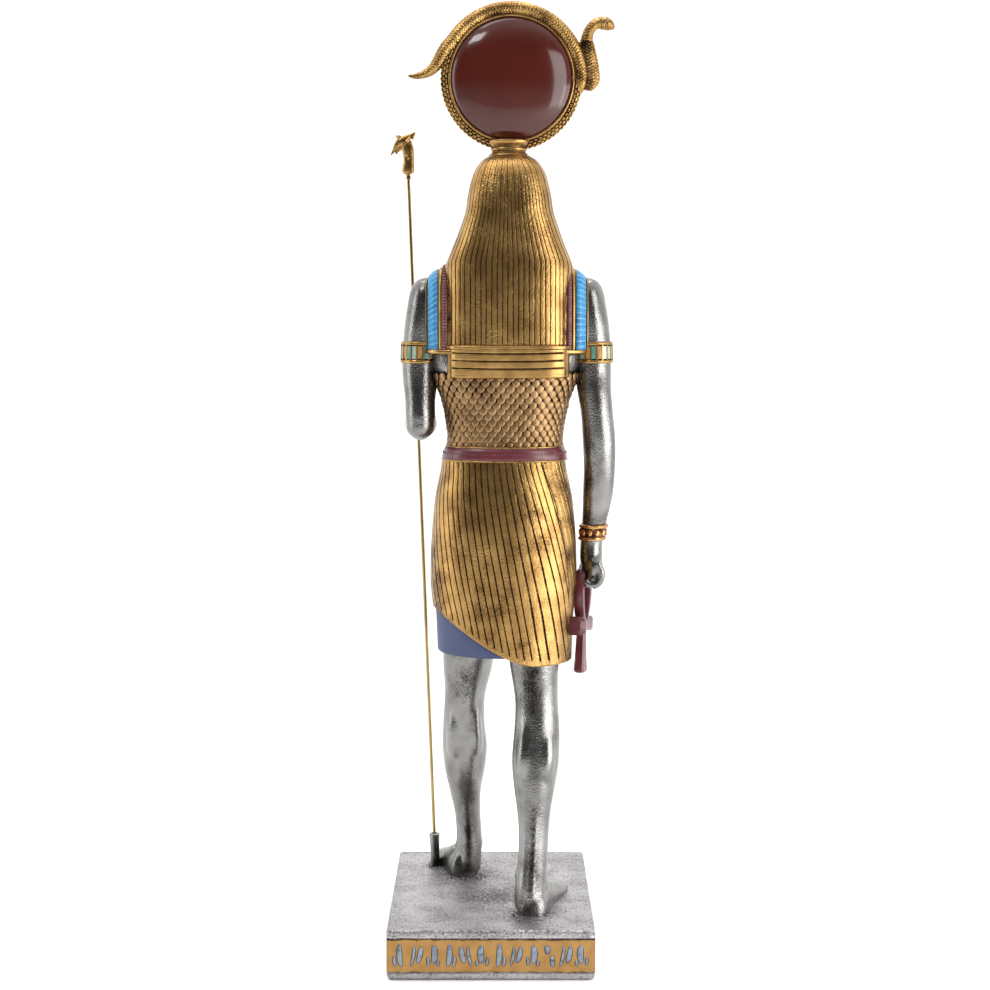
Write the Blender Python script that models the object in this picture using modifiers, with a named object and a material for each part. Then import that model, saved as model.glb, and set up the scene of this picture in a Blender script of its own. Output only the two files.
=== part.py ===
"""Falcon-headed sun god figure on a plinth, with an ankh in one hand and a was sceptre in the other.

The figure, its headdress, the ankh and the plinth are one resin casting. The sceptre is a brass
rod that passes through the left fist into a socket on the plinth, with a cast head on its top.

Metres, +Z up. The figure faces -Y, so its own left hand is on +X. The origin is the middle of
the plinth's underside.
"""

import math
from typing import NamedTuple

import bmesh
import bpy
from mathutils import Matrix, Vector

# Plinth
BASE_WIDTH = 0.064
BASE_DEPTH = 0.081
BASE_HEIGHT = 0.0159
BASE_ROUND = 0.0011
BAND_HEIGHT = 0.0106
BAND_RISE = 0.0026
BAND_CORNER = 0.0013
BAND_SINK = 0.0004

# Figure: its body is given in parts, of which its height from soles to crown holds this many
FIGURE_HEIGHT = 0.236
PARTS_HIGH = 236.0
FIGURE_X = -0.005

# Sceptre, with the play between the rod and each hole it goes through
ROD_DIAMETER = 0.0011
ROD_LENGTH = 0.2325
ROD_PLAY = 0.0003
SOCKET_HEIGHT = 0.0111
SOCKET_WALL = 0.0010
SOCKET_FLOOR = 0.0008
SOCKET_FLARE = 0.0007
SCEPTRE_HEAD_HEIGHT = 0.0150
SCEPTRE_HEAD_BORE = 0.0026

# Carving on the body, in parts
KILT_PLEATS = 44
WIG_LOCKS = 30
SCALES_AROUND = 23
PLEAT_DEPTH = 0.5
LOCK_DEPTH = 0.5
SCALE_LIFT = 0.55
SCALE_PITCH = 2.15
CLOTH_STEP = 0.8

# Each finish: colour, metallic, roughness
PEWTER = (0.36, 0.35, 0.33), 0.9, 0.38
BRASS = (0.78, 0.57, 0.22), 1.0, 0.3


class Station(NamedTuple):
    """One level of an upright form, in parts above the plinth."""

    z: float
    x: float
    y: float
    half_width: float
    half_depth: float


class Form(NamedTuple):
    """An upright form: stations from the top down, and how square its outline is."""

    stations: list
    power: float


TORSO = Form([
    Station(181, 0.3, 0.9, 23.8, 13.6),
    Station(174, 0.4, 1.0, 23.9, 14.1),
    Station(167.6, 0.4, 1.0, 22.1, 14.0),
    Station(159.9, 0.4, 0.8, 19.3, 13.1),
    Station(153.6, 0.4, 0.6, 18.0, 12.6),
    Station(147, 0.5, 0.6, 17.4, 12.4),
    Station(139, 0.5, 0.8, 19.4, 13.8),
], 2.5)

COLLAR = Form([
    Station(206.5, -0.4, 0.0, 11.0, 8.6),
    Station(203.2, -0.3, 0.1, 17.5, 9.8),
    Station(200.6, -0.2, 0.2, 22.8, 11.0),
    Station(198, 0.0, 0.3, 25.3, 12.2),
    Station(193, 0.1, 0.5, 26.0, 13.8),
    Station(184, 0.2, 0.8, 26.1, 15.0),
    Station(174.7, 0.3, 1.0, 25.8, 15.3),
], 3.0)

KILT = Form([
    Station(142, 0.8, 0.8, 19.7, 14.4),
    Station(139.7, 0.8, 0.8, 19.9, 14.8),
    Station(129.9, 0.8, 1.0, 21.9, 17.2),
    Station(119.6, 0.8, 0.9, 23.0, 18.6),
    Station(109.3, 0.8, 0.6, 23.5, 19.3),
    Station(101.6, 0.8, 0.4, 23.6, 19.6),
    Station(92.3, 0.8, 0.2, 22.7, 19.9),
    Station(76, 0.8, 0.0, 22.1, 20.2),
], 2.25)

WIG = Form([
    Station(236.4, -0.8, 1.0, 6.4, 6.2),
    Station(233.6, -0.8, 2.0, 9.8, 9.0),
    Station(229.5, -0.8, 2.8, 12.0, 10.6),
    Station(219, -0.8, 3.3, 13.8, 12.0),
    Station(209.5, -0.7, 3.0, 17.1, 12.9),
    Station(201.4, -0.7, 3.3, 20.7, 13.0),
    Station(194.7, -0.7, 4.3, 20.8, 12.2),
    Station(186, -0.7, 5.4, 19.8, 11.0),
    Station(177, -0.7, 6.2, 18.9, 10.2),
], 2.3)

BELT = Form([
    Station(145.1, 0.6, 0.8, 16.6, 11.4),
    Station(144.6, 0.6, 0.8, 19.8, 14.7),
    Station(141.2, 0.7, 0.8, 20.7, 15.5),
    Station(140.6, 0.7, 0.8, 18.6, 13.4),
], 2.3)

PANEL_TOP = 177.6
PANEL_BOTTOM = 167.6
PANEL_RIBS = 4
PANEL = Form([
    Station(PANEL_TOP, -0.7, 6.0, 18.7, 10.7),
    Station(PANEL_BOTTOM, -0.7, 5.6, 18.7, 10.7),
], 3.0)

# Limbs: centre, then half thickness across and fore-and-aft, in parts
LEFT_LEG = [
    (12.4, -8.0, 88, 8.6, 9.0),
    (12.6, -9.5, 73.7, 8.2, 8.6),
    (13.6, -10.4, 62.5, 6.7, 7.4),
    (14.0, -11.0, 52.6, 7.1, 7.4),
    (13.7, -11.9, 44.2, 7.8, 8.0),
    (13.7, -13.0, 35.8, 6.6, 7.0),
    (13.6, -13.8, 30.2, 5.4, 6.0),
    (12.9, -15.0, 21.7, 4.4, 5.1),
    (12.4, -16.2, 13.2, 4.6, 5.0),
    (12.7, -17.2, 5.0, 4.5, 5.5),
    (12.8, -17.4, 1.0, 4.4, 5.4),
]
RIGHT_LEG = [
    (-8.6, 7.0, 88, 8.8, 9.4),
    (-8.8, 8.5, 76.7, 7.9, 8.7),
    (-9.5, 10.1, 65, 6.9, 7.6),
    (-9.6, 11.8, 55.3, 7.5, 7.8),
    (-9.1, 13.4, 46.2, 7.8, 8.0),
    (-8.7, 15.4, 36.5, 6.3, 6.8),
    (-8.6, 16.6, 31, 5.4, 6.1),
    (-8.5, 18.4, 22.9, 4.9, 5.4),
    (-8.1, 20.0, 14.7, 5.0, 5.3),
    (-7.5, 21.2, 7.0, 5.3, 5.7),
    (-7.4, 21.6, 1.0, 5.3, 5.7),
]
# The shoulder and upper arm, which both arms share with x counted outwards
UPPER_ARM = [
    (23.4, 0.5, 200.9, 1.4, 1.9),
    (24.2, 0.5, 199.5, 3.7, 4.7),
    (25.6, 0.5, 195.5, 5.5, 6.5),
    (26.8, 0.6, 189, 5.7, 7.0),
    (27.3, 0.9, 179, 5.7, 6.5),
    (27.4, 1.4, 168, 5.7, 6.1),
]
RIGHT_FOREARM = [
    (-27.7, 2.0, 163.3, 5.4, 5.7),
    (-28.5, 2.4, 157, 5.1, 5.6),
    (-29.3, 2.5, 147.5, 5.2, 5.5),
    (-29.5, 1.9, 138, 5.0, 5.1),
    (-29.1, 0.8, 130, 4.8, 4.7),
    (-28.2, -0.3, 122, 4.0, 4.0),
    (-27.0, -1.2, 112.4, 3.7, 4.1),
    (-27.4, -1.2, 107, 4.0, 5.6),
    (-28.4, -0.8, 102.4, 4.0, 6.3),
    (-28.9, -0.5, 99.2, 3.0, 5.4),
    (-28.9, -0.4, 98.2, 1.4, 3.2),
]
LEFT_ELBOW = [
    (27.4, 3.0, 160, 4.8, 5.4),
    (27.3, 3.8, 153.4, 4.6, 5.4),
    (27.3, 3.8, 149.6, 3.8, 4.4),
    (27.3, 3.6, 147.8, 1.8, 2.2),
]
LEFT_FOREARM = [
    (27.3, 6.6, 152.4, 3.4, 3.2),
    (27.3, 3.0, 152.5, 4.7, 4.6),
    (27.4, -5.0, 152.9, 4.9, 4.9),
    (27.8, -14.0, 153.4, 4.2, 4.1),
    (28.4, -21.5, 153.7, 3.3, 3.4),
    (29.1, -24.4, 153.8, 4.5, 4.5),
    (29.5, -28.0, 153.8, 5.1, 4.8),
    (29.5, -31.5, 153.8, 4.6, 4.5),
    (29.4, -33.4, 153.8, 2.8, 3.0),
]
FIST = Vector((29.5, -28.0, 153.8))
SOCKET_X, SOCKET_Y = 24.0, -24.8

# Falcon's head and beak, from inside the wig forwards
FACE = [
    (-0.8, 0.0, 219.0, 9.6, 11.0),
    (-0.8, -6.0, 218.8, 10.2, 11.4),
    (-0.8, -10.5, 218.2, 9.0, 9.8),
    (-0.8, -14.0, 217.4, 6.8, 7.3),
    (-0.8, -17.0, 216.0, 4.4, 5.2),
    (-0.8, -19.6, 213.9, 2.7, 3.7),
    (-0.8, -21.3, 211.2, 1.5, 2.2),
    (-0.8, -21.9, 208.8, 0.5, 0.9),
]
# Folded lock of the wig that hangs in front of each shoulder, x counted outwards
LAPPET = [
    (9.5, -7.5, 209, 5.0, 2.6),
    (11.0, -11.0, 202, 5.3, 2.6),
    (11.3, -13.0, 194, 5.2, 2.5),
    (10.9, -14.2, 184, 4.8, 2.4),
    (10.5, -14.6, 172, 4.4, 2.2),
]
APRON = [
    (0.8, -14.8, 143, 4.2, 1.4),
    (0.8, -17.8, 131, 5.0, 1.4),
    (0.8, -19.8, 118, 5.8, 1.4),
    (0.8, -20.4, 101, 6.6, 1.4),
    (0.8, -20.6, 83, 7.2, 1.4),
]

# Armlets and bracelet: limb they go round, top, bottom and how far they stand out
ARMLET_TOP, ARMLET_BOTTOM = 178.6, 171.8
BRACELET_TOP, BRACELET_BOTTOM = 120.2, 115.0
BAND_STAND = 0.7

# Feet: share of the length from the heel, then half width and height, in parts
FOOT_OUTLINE = [
    (0.00, 2.4, 3.6),
    (0.05, 4.3, 7.0),
    (0.15, 5.0, 9.4),
    (0.34, 4.9, 9.0),
    (0.52, 5.3, 6.6),
    (0.70, 6.1, 5.0),
    (0.84, 6.2, 4.0),
    (0.94, 5.6, 3.0),
    (1.00, 3.8, 1.8),
]
FOOT_SIDES = 10
SOLE_DROP = 0.35

# Headdress, in parts
DISC_CENTRE = Vector((-1.4, 0.0, 260.2))
DISC_RADIUS = 19.4
DISC_BULGE = 6.2
RING_WIRE = 1.7
RING_OVERLAP = 0.4
SNAKE_WIRE = 2.3
SNAKE_OVERLAP = 0.1
NECK_PIECE = [(235.5, 5.6), (237.0, 6.3), (238.0, 5.2), (239.4, 5.4), (240.6, 6.2), (243.5, 6.6)]
SNAKE_START, SNAKE_END = -13.0, 152.0
TAIL = [
    (20.2, 0.0, 268.0, 2.5, 2.4),
    (23.3, 0.0, 263.6, 2.0, 2.0),
    (26.2, 0.0, 261.4, 1.3, 1.4),
    (28.8, 0.0, 261.0, 0.8, 0.8),
    (30.4, 0.0, 261.4, 0.35, 0.35),
]
COBRA = [
    (-25.2, -0.2, 257.0, 1.6, 1.2),
    (-25.7, -0.4, 259.0, 3.1, 1.7),
    (-25.6, -0.6, 263.0, 3.3, 1.8),
    (-25.4, -0.6, 267.5, 2.8, 1.7),
    (-25.2, -0.4, 271.5, 2.0, 1.6),
    (-25.9, -0.2, 274.9, 1.7, 1.5),
    (-28.0, 0.0, 277.0, 1.8, 1.6),
    (-30.6, 0.0, 277.1, 1.9, 2.1),
    (-32.8, 0.0, 276.2, 1.1, 1.5),
    (-33.7, 0.0, 275.8, 0.4, 0.6),
]

# Ankh, in parts: it hangs from the right fist with its face turned to the side
ANKH_CENTRE = Vector((-24.4, 0.6, 88.6))
ANKH_TURN = math.radians(24)
ANKH_THICK = 3.2
ANKH_ARM = 9.0
ANKH_DROP = 16.4
ANKH_LOOP_HEIGHT = 15.4
ANKH_LOOP_WIDTH = 8.6
ANKH_WAIST = 1.5
ANKH_FLARE = 2.7

# Was head's outline in shares of its height: place along the sceptre, then both edges
WAS_NECK = [
    (0.00, 0.000, 0.034),
    (0.10, 0.000, 0.050),
    (0.135, 0.000, 0.130),
    (0.36, -0.030, 0.123),
    (0.52, -0.016, 0.128),
    (0.68, 0.004, 0.118),
    (0.84, 0.006, 0.090),
]
WAS_SNOUT = [
    (-0.200, 1.000, 0.014),
    (-0.120, 0.958, 0.040),
    (0.020, 0.900, 0.082),
    (0.140, 0.850, 0.100),
    (0.230, 0.770, 0.088),
    (0.310, 0.660, 0.060),
    (0.385, 0.530, 0.030),
]

PART = FIGURE_HEIGHT / PARTS_HIGH
FULL_TURN = 2 * math.pi
FLAT_ANGLE = math.radians(2.0)
SQUARE = ((-1, -1), (1, -1), (1, 1), (-1, 1))


def place(x, y, z):
    """World point of a point in parts, counted from under the figure on top of the plinth."""
    return Vector((FIGURE_X + x * PART, y * PART, BASE_HEIGHT + z * PART))


def smooth_step(value):
    value = min(max(value, 0.0), 1.0)
    return value * value * (3 - 2 * value)


def at_height(form, z):
    """The form's station at a height, between its own ones."""
    stations = form.stations
    z = min(max(z, stations[-1].z), stations[0].z)
    for upper, lower in zip(stations, stations[1:]):
        if z >= lower.z:
            share = (upper.z - z) / (upper.z - lower.z)
            return Station(*(a + (b - a) * share for a, b in zip(upper, lower)))
    return stations[-1]


def on_form(form, angle, z, grow=0.0):
    """Point of an upright form's surface; the angle runs from the back towards the figure's left."""
    station = at_height(form, z)
    across, along = math.sin(angle), math.cos(angle)
    bend = 2 / form.power
    x = math.copysign(abs(across) ** bend, across) * (station.half_width + grow)
    y = math.copysign(abs(along) ** bend, along) * (station.half_depth + grow)
    return place(station.x + x, station.y + y, z)


def angles_round(count, offset=0.0):
    return [FULL_TURN * (i + offset) / count - math.pi for i in range(count)]


def material(name, finish):
    colour, metallic, roughness = finish
    made = bpy.data.materials.get(name)
    if made:
        return made
    made = bpy.data.materials.new(name)
    made.use_nodes = True
    shader = made.node_tree.nodes["Principled BSDF"]
    shader.inputs["Base Color"].default_value = (*colour, 1.0)
    shader.inputs["Metallic"].default_value = metallic
    shader.inputs["Roughness"].default_value = roughness
    return made


def add_object(name, bm, collection):
    """New object from a closed bmesh, in triangles with its faces outwards."""
    bmesh.ops.triangulate(bm, faces=bm.faces)
    bmesh.ops.recalc_face_normals(bm, faces=bm.faces)
    mesh = bpy.data.meshes.new(name)
    bm.to_mesh(mesh)
    bm.free()
    made = bpy.data.objects.new(name, mesh)
    collection.objects.link(made)
    return made


def guide(made):
    """Marks an object as one that only takes part in a Boolean."""
    made.hide_render = True
    made.display_type = "WIRE"
    return made


def loft(name, rings, collection):
    """Closed skin through rings of as many points each, with a fan over each end."""
    bm = bmesh.new()
    loops = [[bm.verts.new(point) for point in ring] for ring in rings]
    for near, far in zip(loops, loops[1:]):
        for i in range(len(near)):
            j = (i + 1) % len(near)
            bm.faces.new((near[i], near[j], far[j], far[i]))
    for loop in (loops[0], loops[-1]):
        middle = bm.verts.new(sum((v.co for v in loop), Vector()) / len(loop))
        for i, vert in enumerate(loop):
            bm.faces.new((vert, loop[(i + 1) % len(loop)], middle))
    return add_object(name, bm, collection)


def upright(name, form, sides, collection, grow=0.0, heights=None):
    """Loft of an upright form, plain or at chosen heights."""
    heights = heights or [station.z for station in form.stations]
    rings = [[on_form(form, a, z, grow) for a in angles_round(sides)] for z in heights]
    return loft(name, rings, collection)


def limb(name, stations, sides, collection, power=2.0, side=Vector((1, 0, 0)), grow=0.0):
    """Loft along a path, each ring square to it, with its first half size lying along side."""
    centres = [place(*station[:3]) for station in stations]
    rings = []
    for i, station in enumerate(stations):
        before, after = centres[max(i - 1, 0)], centres[min(i + 1, len(centres) - 1)]
        along = (after - before).normalized()
        across = (side - along * side.dot(along)).normalized()
        other = along.cross(across)
        half_side, half_other = ((size + grow) * PART for size in station[3:5])
        ring = []
        for angle in angles_round(sides, 0.5):
            s, c = math.sin(angle), math.cos(angle)
            u = math.copysign(abs(s) ** (2 / power), s) * half_side
            v = math.copysign(abs(c) ** (2 / power), c) * half_other
            ring.append(centres[i] + across * u + other * v)
        rings.append(ring)
    return loft(name, rings, collection)


def mirrored(stations, side):
    """Stations with x counted outwards, put on the figure's left (1) or right (-1)."""
    return [(side * x, *rest) for x, *rest in stations]


def unite(body, pieces):
    for piece in pieces:
        joining = body.modifiers.new(piece.name, "BOOLEAN")
        joining.operation = "UNION"
        joining.solver = "EXACT"
        joining.object = guide(piece)


def cut(body, cutters):
    for cutter in cutters:
        cutting = body.modifiers.new(cutter.name, "BOOLEAN")
        cutting.operation = "DIFFERENCE"
        cutting.solver = "EXACT"
        cutting.object = guide(cutter)


def merge_flat_facets(body):
    """Joins the facets that a Boolean splits within one flat surface."""
    merging = body.modifiers.new("flat_facets", "DECIMATE")
    merging.decimate_type = "DISSOLVE"
    merging.angle_limit = FLAT_ANGLE


def box(name, size, centre, collection):
    bm = bmesh.new()
    bmesh.ops.create_cube(bm, size=1.0)
    bmesh.ops.scale(bm, vec=size, verts=bm.verts)
    bmesh.ops.translate(bm, vec=centre, verts=bm.verts)
    return add_object(name, bm, collection)


def cylinder(name, start, end, radius, collection, end_radius=None, sides=16):
    """Round bar, or a taper, between two points."""
    bm = bmesh.new()
    run = end - start
    bmesh.ops.create_cone(
        bm, cap_ends=True, segments=sides, depth=run.length,
        radius1=radius, radius2=radius if end_radius is None else end_radius,
    )
    turn = run.to_track_quat("Z", "Y").to_matrix().to_4x4()
    bmesh.ops.transform(bm, matrix=Matrix.Translation((start + end) / 2) @ turn, verts=bm.verts)
    return add_object(name, bm, collection)


def plinth(collection):
    """Plinth with rounded edges and a shallow sunk band on each side."""
    made = box("statue", (BASE_WIDTH, BASE_DEPTH, BASE_HEIGHT), (0, 0, BASE_HEIGHT / 2), collection)
    rounding = made.modifiers.new("edges", "BEVEL")
    rounding.width = BASE_ROUND
    rounding.segments = 2
    rounding.limit_method = "ANGLE"
    return made


def band_cutters(collection):
    middle = BAND_RISE + BAND_HEIGHT / 2
    long_side = BASE_DEPTH - 2 * BAND_CORNER
    short_side = BASE_WIDTH - 2 * BAND_CORNER
    cutters = []
    for side in (-1, 1):
        cutters.append(box(
            f"band_x{side}", (2 * BAND_SINK, long_side, BAND_HEIGHT),
            (side * BASE_WIDTH / 2, 0, middle), collection,
        ))
        cutters.append(box(
            f"band_y{side}", (short_side, 2 * BAND_SINK, BAND_HEIGHT),
            (0, side * BASE_DEPTH / 2, middle), collection,
        ))
    return cutters


def kilt_hem(angle):
    """Height of the wrapped kilt's hem: low on the right, high on the left, parted in front."""
    degrees = math.degrees(angle)
    rise = 17 * smooth_step((degrees + 30) / 110)
    wrap = 9 * smooth_step((abs(degrees) - 110) / 60)
    seam = smooth_step((abs(degrees) - 170) / 10)
    return (77.4 + rise + wrap) * (1 - seam) + 95 * seam


def pleat_angle(start, share):
    """Where a pleat that starts at an angle under the belt has got to, a share of the way down."""
    degrees = math.degrees(start)
    sweep = 11 + 37 * smooth_step((12 - degrees) / 50)
    sweep *= smooth_step((180 - abs(degrees)) / 110)
    return start - math.radians(sweep) * (1 - (1 - share) ** 2)


def pleated_kilt(collection):
    """Wrapped outer kilt, its pleats running round and down from the belt to a slanting hem."""
    top = KILT.stations[0].z
    rings = []
    for step in (0, 0.12, 0.26, 0.45, 0.68, 1.0):
        ring = []
        for i, start in enumerate(angles_round(2 * KILT_PLEATS)):
            angle = pleat_angle(start, step)
            z = top + (kilt_hem(angle) - top) * step
            ring.append(on_form(KILT, angle, z, PLEAT_DEPTH * (i % 2) - PLEAT_DEPTH / 2))
        rings.append(ring)
    inner = [on_form(KILT, pleat_angle(a, 1), kilt_hem(pleat_angle(a, 1)), -3)
             for a in angles_round(2 * KILT_PLEATS)]
    return loft("kilt", [*rings, inner], collection)


def wig_shell(collection):
    rings = []
    for station in WIG.stations:
        rings.append([
            on_form(WIG, angle, station.z, -LOCK_DEPTH * (i % 2))
            for i, angle in enumerate(angles_round(2 * WIG_LOCKS))
        ])
    return loft("wig", rings, collection)


def scale_corselet(collection):
    """Courses of pointed scales from the belt up to the collar, each over the one below."""
    rings = []
    lowest = BELT.stations[-2].z
    hidden = 3
    courses = round((COLLAR.stations[-1].z + hidden - lowest) / SCALE_PITCH)
    for course in range(courses, 0, -1):
        tip = lowest + SCALE_PITCH * course
        angles = angles_round(SCALES_AROUND, (course % 2) / 2)
        rings.append([on_form(TORSO, a, tip, SCALE_LIFT) for a in angles])
        rings.append([on_form(TORSO, a, tip - SCALE_PITCH * 0.16, 0.0) for a in angles])
    bm = bmesh.new()
    loops = [[bm.verts.new(point) for point in ring] for ring in rings]
    for row, (near, far) in enumerate(zip(loops, loops[1:])):
        lean = 0 if row % 2 == 0 else (1 if (courses - row // 2) % 2 == 0 else -1)
        for i in range(SCALES_AROUND):
            j = (i + 1) % SCALES_AROUND
            if lean == -1:
                bm.faces.new((near[i], near[j], far[j]))
                bm.faces.new((near[i], far[j], far[i]))
            else:
                bm.faces.new((near[i], near[j], far[i]))
                bm.faces.new((near[j], far[j], far[i]))
    for loop in (loops[0], loops[-1]):
        middle = bm.verts.new(sum((v.co for v in loop), Vector()) / len(loop))
        for i, vert in enumerate(loop):
            bm.faces.new((vert, loop[(i + 1) % len(loop)], middle))
    return add_object("corselet", bm, collection)


def ribbed_panel(collection):
    """Band under the wig's locks at the back, with flat ribs lying one above another."""
    rib = (PANEL_TOP - PANEL_BOTTOM) / (PANEL_RIBS + (PANEL_RIBS - 1) / 2)
    rings = []
    for i in range(PANEL_RIBS):
        top = PANEL_TOP - i * rib * 1.5
        for z, grow in ((top, 0), (top - rib * 0.12, 0.6), (top - rib * 0.88, 0.6), (top - rib, 0)):
            rings.append([on_form(PANEL, a, z, grow) for a in angles_round(16)])
    return loft("panel", rings, collection)


def foot(name, heel, splay, length, collection):
    """Foot standing on the plinth, from the back of the heel forwards along its splay."""
    run = Vector((math.sin(splay), -math.cos(splay), 0))
    side = Vector((math.cos(splay), math.sin(splay), 0))
    rings = []
    for share, half_width, height in FOOT_OUTLINE:
        centre = place(*heel, 0) + run * share * length * PART
        ring = []
        for i in range(FOOT_SIDES):
            angle = FULL_TURN * (i + 0.5) / FOOT_SIDES
            lift = max(math.sin(angle), -SOLE_DROP) * height
            ring.append(centre + side * math.cos(angle) * half_width * PART + Vector((0, 0, lift * PART)))
        rings.append(ring)
    return loft(name, rings, collection)


def banded(stations, top, bottom, stand):
    """Stations of a hanging limb with a raised band round it between two heights."""
    def between(z, grow):
        for upper, lower in zip(stations, stations[1:]):
            if upper[2] >= z >= lower[2]:
                share = (upper[2] - z) / (upper[2] - lower[2])
                x, y, _, side, other = (a + (b - a) * share for a, b in zip(upper, lower))
                return (x, y, z, side + grow, other + grow)
        return stations[-1]

    edge = 0.25
    steps = [(top, 0), (top - edge, stand), (bottom + edge, stand), (bottom, 0)]
    above = [station for station in stations if station[2] > top]
    below = [station for station in stations if station[2] < bottom]
    return above + [between(z, grow) for z, grow in steps] + below


def disc_lens(collection):
    """Sun disc: a lens turned about the axis that runs from front to back."""
    steps = 4
    rings = []
    for i in range(1, 2 * steps):
        turn = math.pi * i / (2 * steps)
        radius = DISC_RADIUS * PART * math.sin(turn)
        y = DISC_BULGE * PART * math.cos(turn)
        rings.append([
            place(*DISC_CENTRE) + Vector((radius * math.sin(a), y, radius * math.cos(a)))
            for a in angles_round(26)
        ])
    return loft("disc", rings, collection)


def disc_ring(collection):
    """Ring round the disc's rim."""
    bpy.ops.mesh.primitive_torus_add(
        location=place(*DISC_CENTRE), rotation=(math.pi / 2, 0, 0),
        major_radius=(DISC_RADIUS + RING_WIRE - RING_OVERLAP) * PART, minor_radius=RING_WIRE * PART,
        major_segments=30, minor_segments=6,
    )
    made = bpy.context.active_object
    made.name = "ring"
    for owner in made.users_collection:
        owner.objects.unlink(made)
    collection.objects.link(made)
    return made


def arc_stations():
    """The snake's back along the upper part of the ring, from the hood round to the tail."""
    reach = DISC_RADIUS + SNAKE_WIRE - SNAKE_OVERLAP
    count = 11
    stations = []
    for i in range(count):
        share = i / (count - 1)
        angle = math.radians(SNAKE_START + (SNAKE_END - SNAKE_START) * share)
        wire = SNAKE_WIRE * (1.05 - 0.1 * share)
        stations.append((
            DISC_CENTRE.x - reach * math.cos(angle), 0.0, DISC_CENTRE.z + reach * math.sin(angle),
            wire, wire,
        ))
    return stations


def neck_piece(collection):
    """Turned collar that carries the disc on the crown."""
    rings = [
        [place(-0.6 + radius * math.sin(a), 1.2 + radius * 0.75 * math.cos(a), z) for a in angles_round(16)]
        for z, radius in NECK_PIECE
    ]
    return loft("neck_piece", rings, collection)


def ankh_point(along, up, across):
    """World point on the ankh: along its arms, up its shaft and across its thickness, in parts."""
    forward = Vector((math.sin(ANKH_TURN), math.cos(ANKH_TURN), 0))
    through = Vector((math.cos(ANKH_TURN), -math.sin(ANKH_TURN), 0))
    return place(*(ANKH_CENTRE + forward * along + through * across + Vector((0, 0, up))))


def ankh_bar(name, ends, upright_bar, thick, collection):
    """Four-sided bar of the ankh, flared towards each end that stands free of the crossing."""
    low, high = ends
    half = thick / 2
    levels = []
    for reach in (low, high):
        if abs(reach) > ANKH_FLARE:
            sign = math.copysign(1, reach)
            levels += [(reach, ANKH_FLARE - 0.4), (reach - sign * 0.3, ANKH_FLARE), (sign * 2.2, ANKH_WAIST)]
        else:
            levels.append((reach, ANKH_WAIST))
    rings = []
    for reach, width in sorted(levels):
        if upright_bar:
            rings.append([ankh_point(u * width, reach, v * half) for u, v in SQUARE])
        else:
            rings.append([ankh_point(reach, u * width, v * half) for u, v in SQUARE])
    return loft(name, rings, collection)


def ankh_loop(collection):
    """Drop-shaped loop of the ankh, a band swept round a tear outline, joined end to end."""
    steps = 18
    half = ANKH_THICK * 0.4
    band = 1.35
    bm = bmesh.new()
    loops = []
    for i in range(steps):
        turn = FULL_TURN * i / steps
        taper = 0.36 + 0.64 * (0.5 - 0.5 * math.cos(turn)) ** 0.7
        outer_along = math.sin(turn) * ANKH_LOOP_WIDTH / 2 * taper
        outer_up = ANKH_LOOP_HEIGHT * (0.5 - 0.5 * math.cos(turn)) * 0.97 + ANKH_LOOP_HEIGHT * 0.03
        centre_up = ANKH_LOOP_HEIGHT * 0.58
        inward = Vector((-outer_along, 0, centre_up - outer_up)).normalized() * band
        loops.append([
            bm.verts.new(ankh_point(outer_along + inward.x * u, outer_up + inward.z * u, v * half))
            for u, v in SQUARE
        ])
    for i, near in enumerate(loops):
        far = loops[(i + 1) % steps]
        for k in range(4):
            bm.faces.new((near[k], near[(k + 1) % 4], far[(k + 1) % 4], far[k]))
    return add_object("ankh_loop", bm, collection)


def rod_line():
    """The sceptre's line: the point where it leaves the plinth, and its direction."""
    foot_point = place(SOCKET_X, SOCKET_Y, 0)
    return foot_point, (place(*FIST) - foot_point).normalized()


def rod_end(top):
    """Either end of the rod, which stands on the floor of its socket."""
    foot_point, direction = rod_line()
    start = foot_point + direction * (SOCKET_FLOOR + ROD_PLAY)
    return start + direction * ROD_LENGTH if top else start


def socket_post(collection):
    foot_point, direction = rod_line()
    radius = ROD_DIAMETER / 2 + ROD_PLAY + SOCKET_WALL
    return cylinder(
        "socket", foot_point - direction * SOCKET_FLARE, foot_point + direction * SOCKET_HEIGHT,
        radius + SOCKET_FLARE, collection, end_radius=radius, sides=12,
    )


def rod_cutters(collection):
    """Holes for the rod: down into the socket, and through the fist."""
    foot_point, direction = rod_line()
    radius = ROD_DIAMETER / 2 + ROD_PLAY
    socket_hole = cylinder(
        "socket_hole", foot_point + direction * SOCKET_FLOOR,
        foot_point + direction * (2 * SOCKET_HEIGHT), radius, collection, sides=12,
    )
    reach = direction * 12 * PART
    fist_hole = cylinder("fist_hole", place(*FIST) - reach, place(*FIST) + reach, radius, collection, sides=12)
    return [socket_hole, fist_hole]


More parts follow.
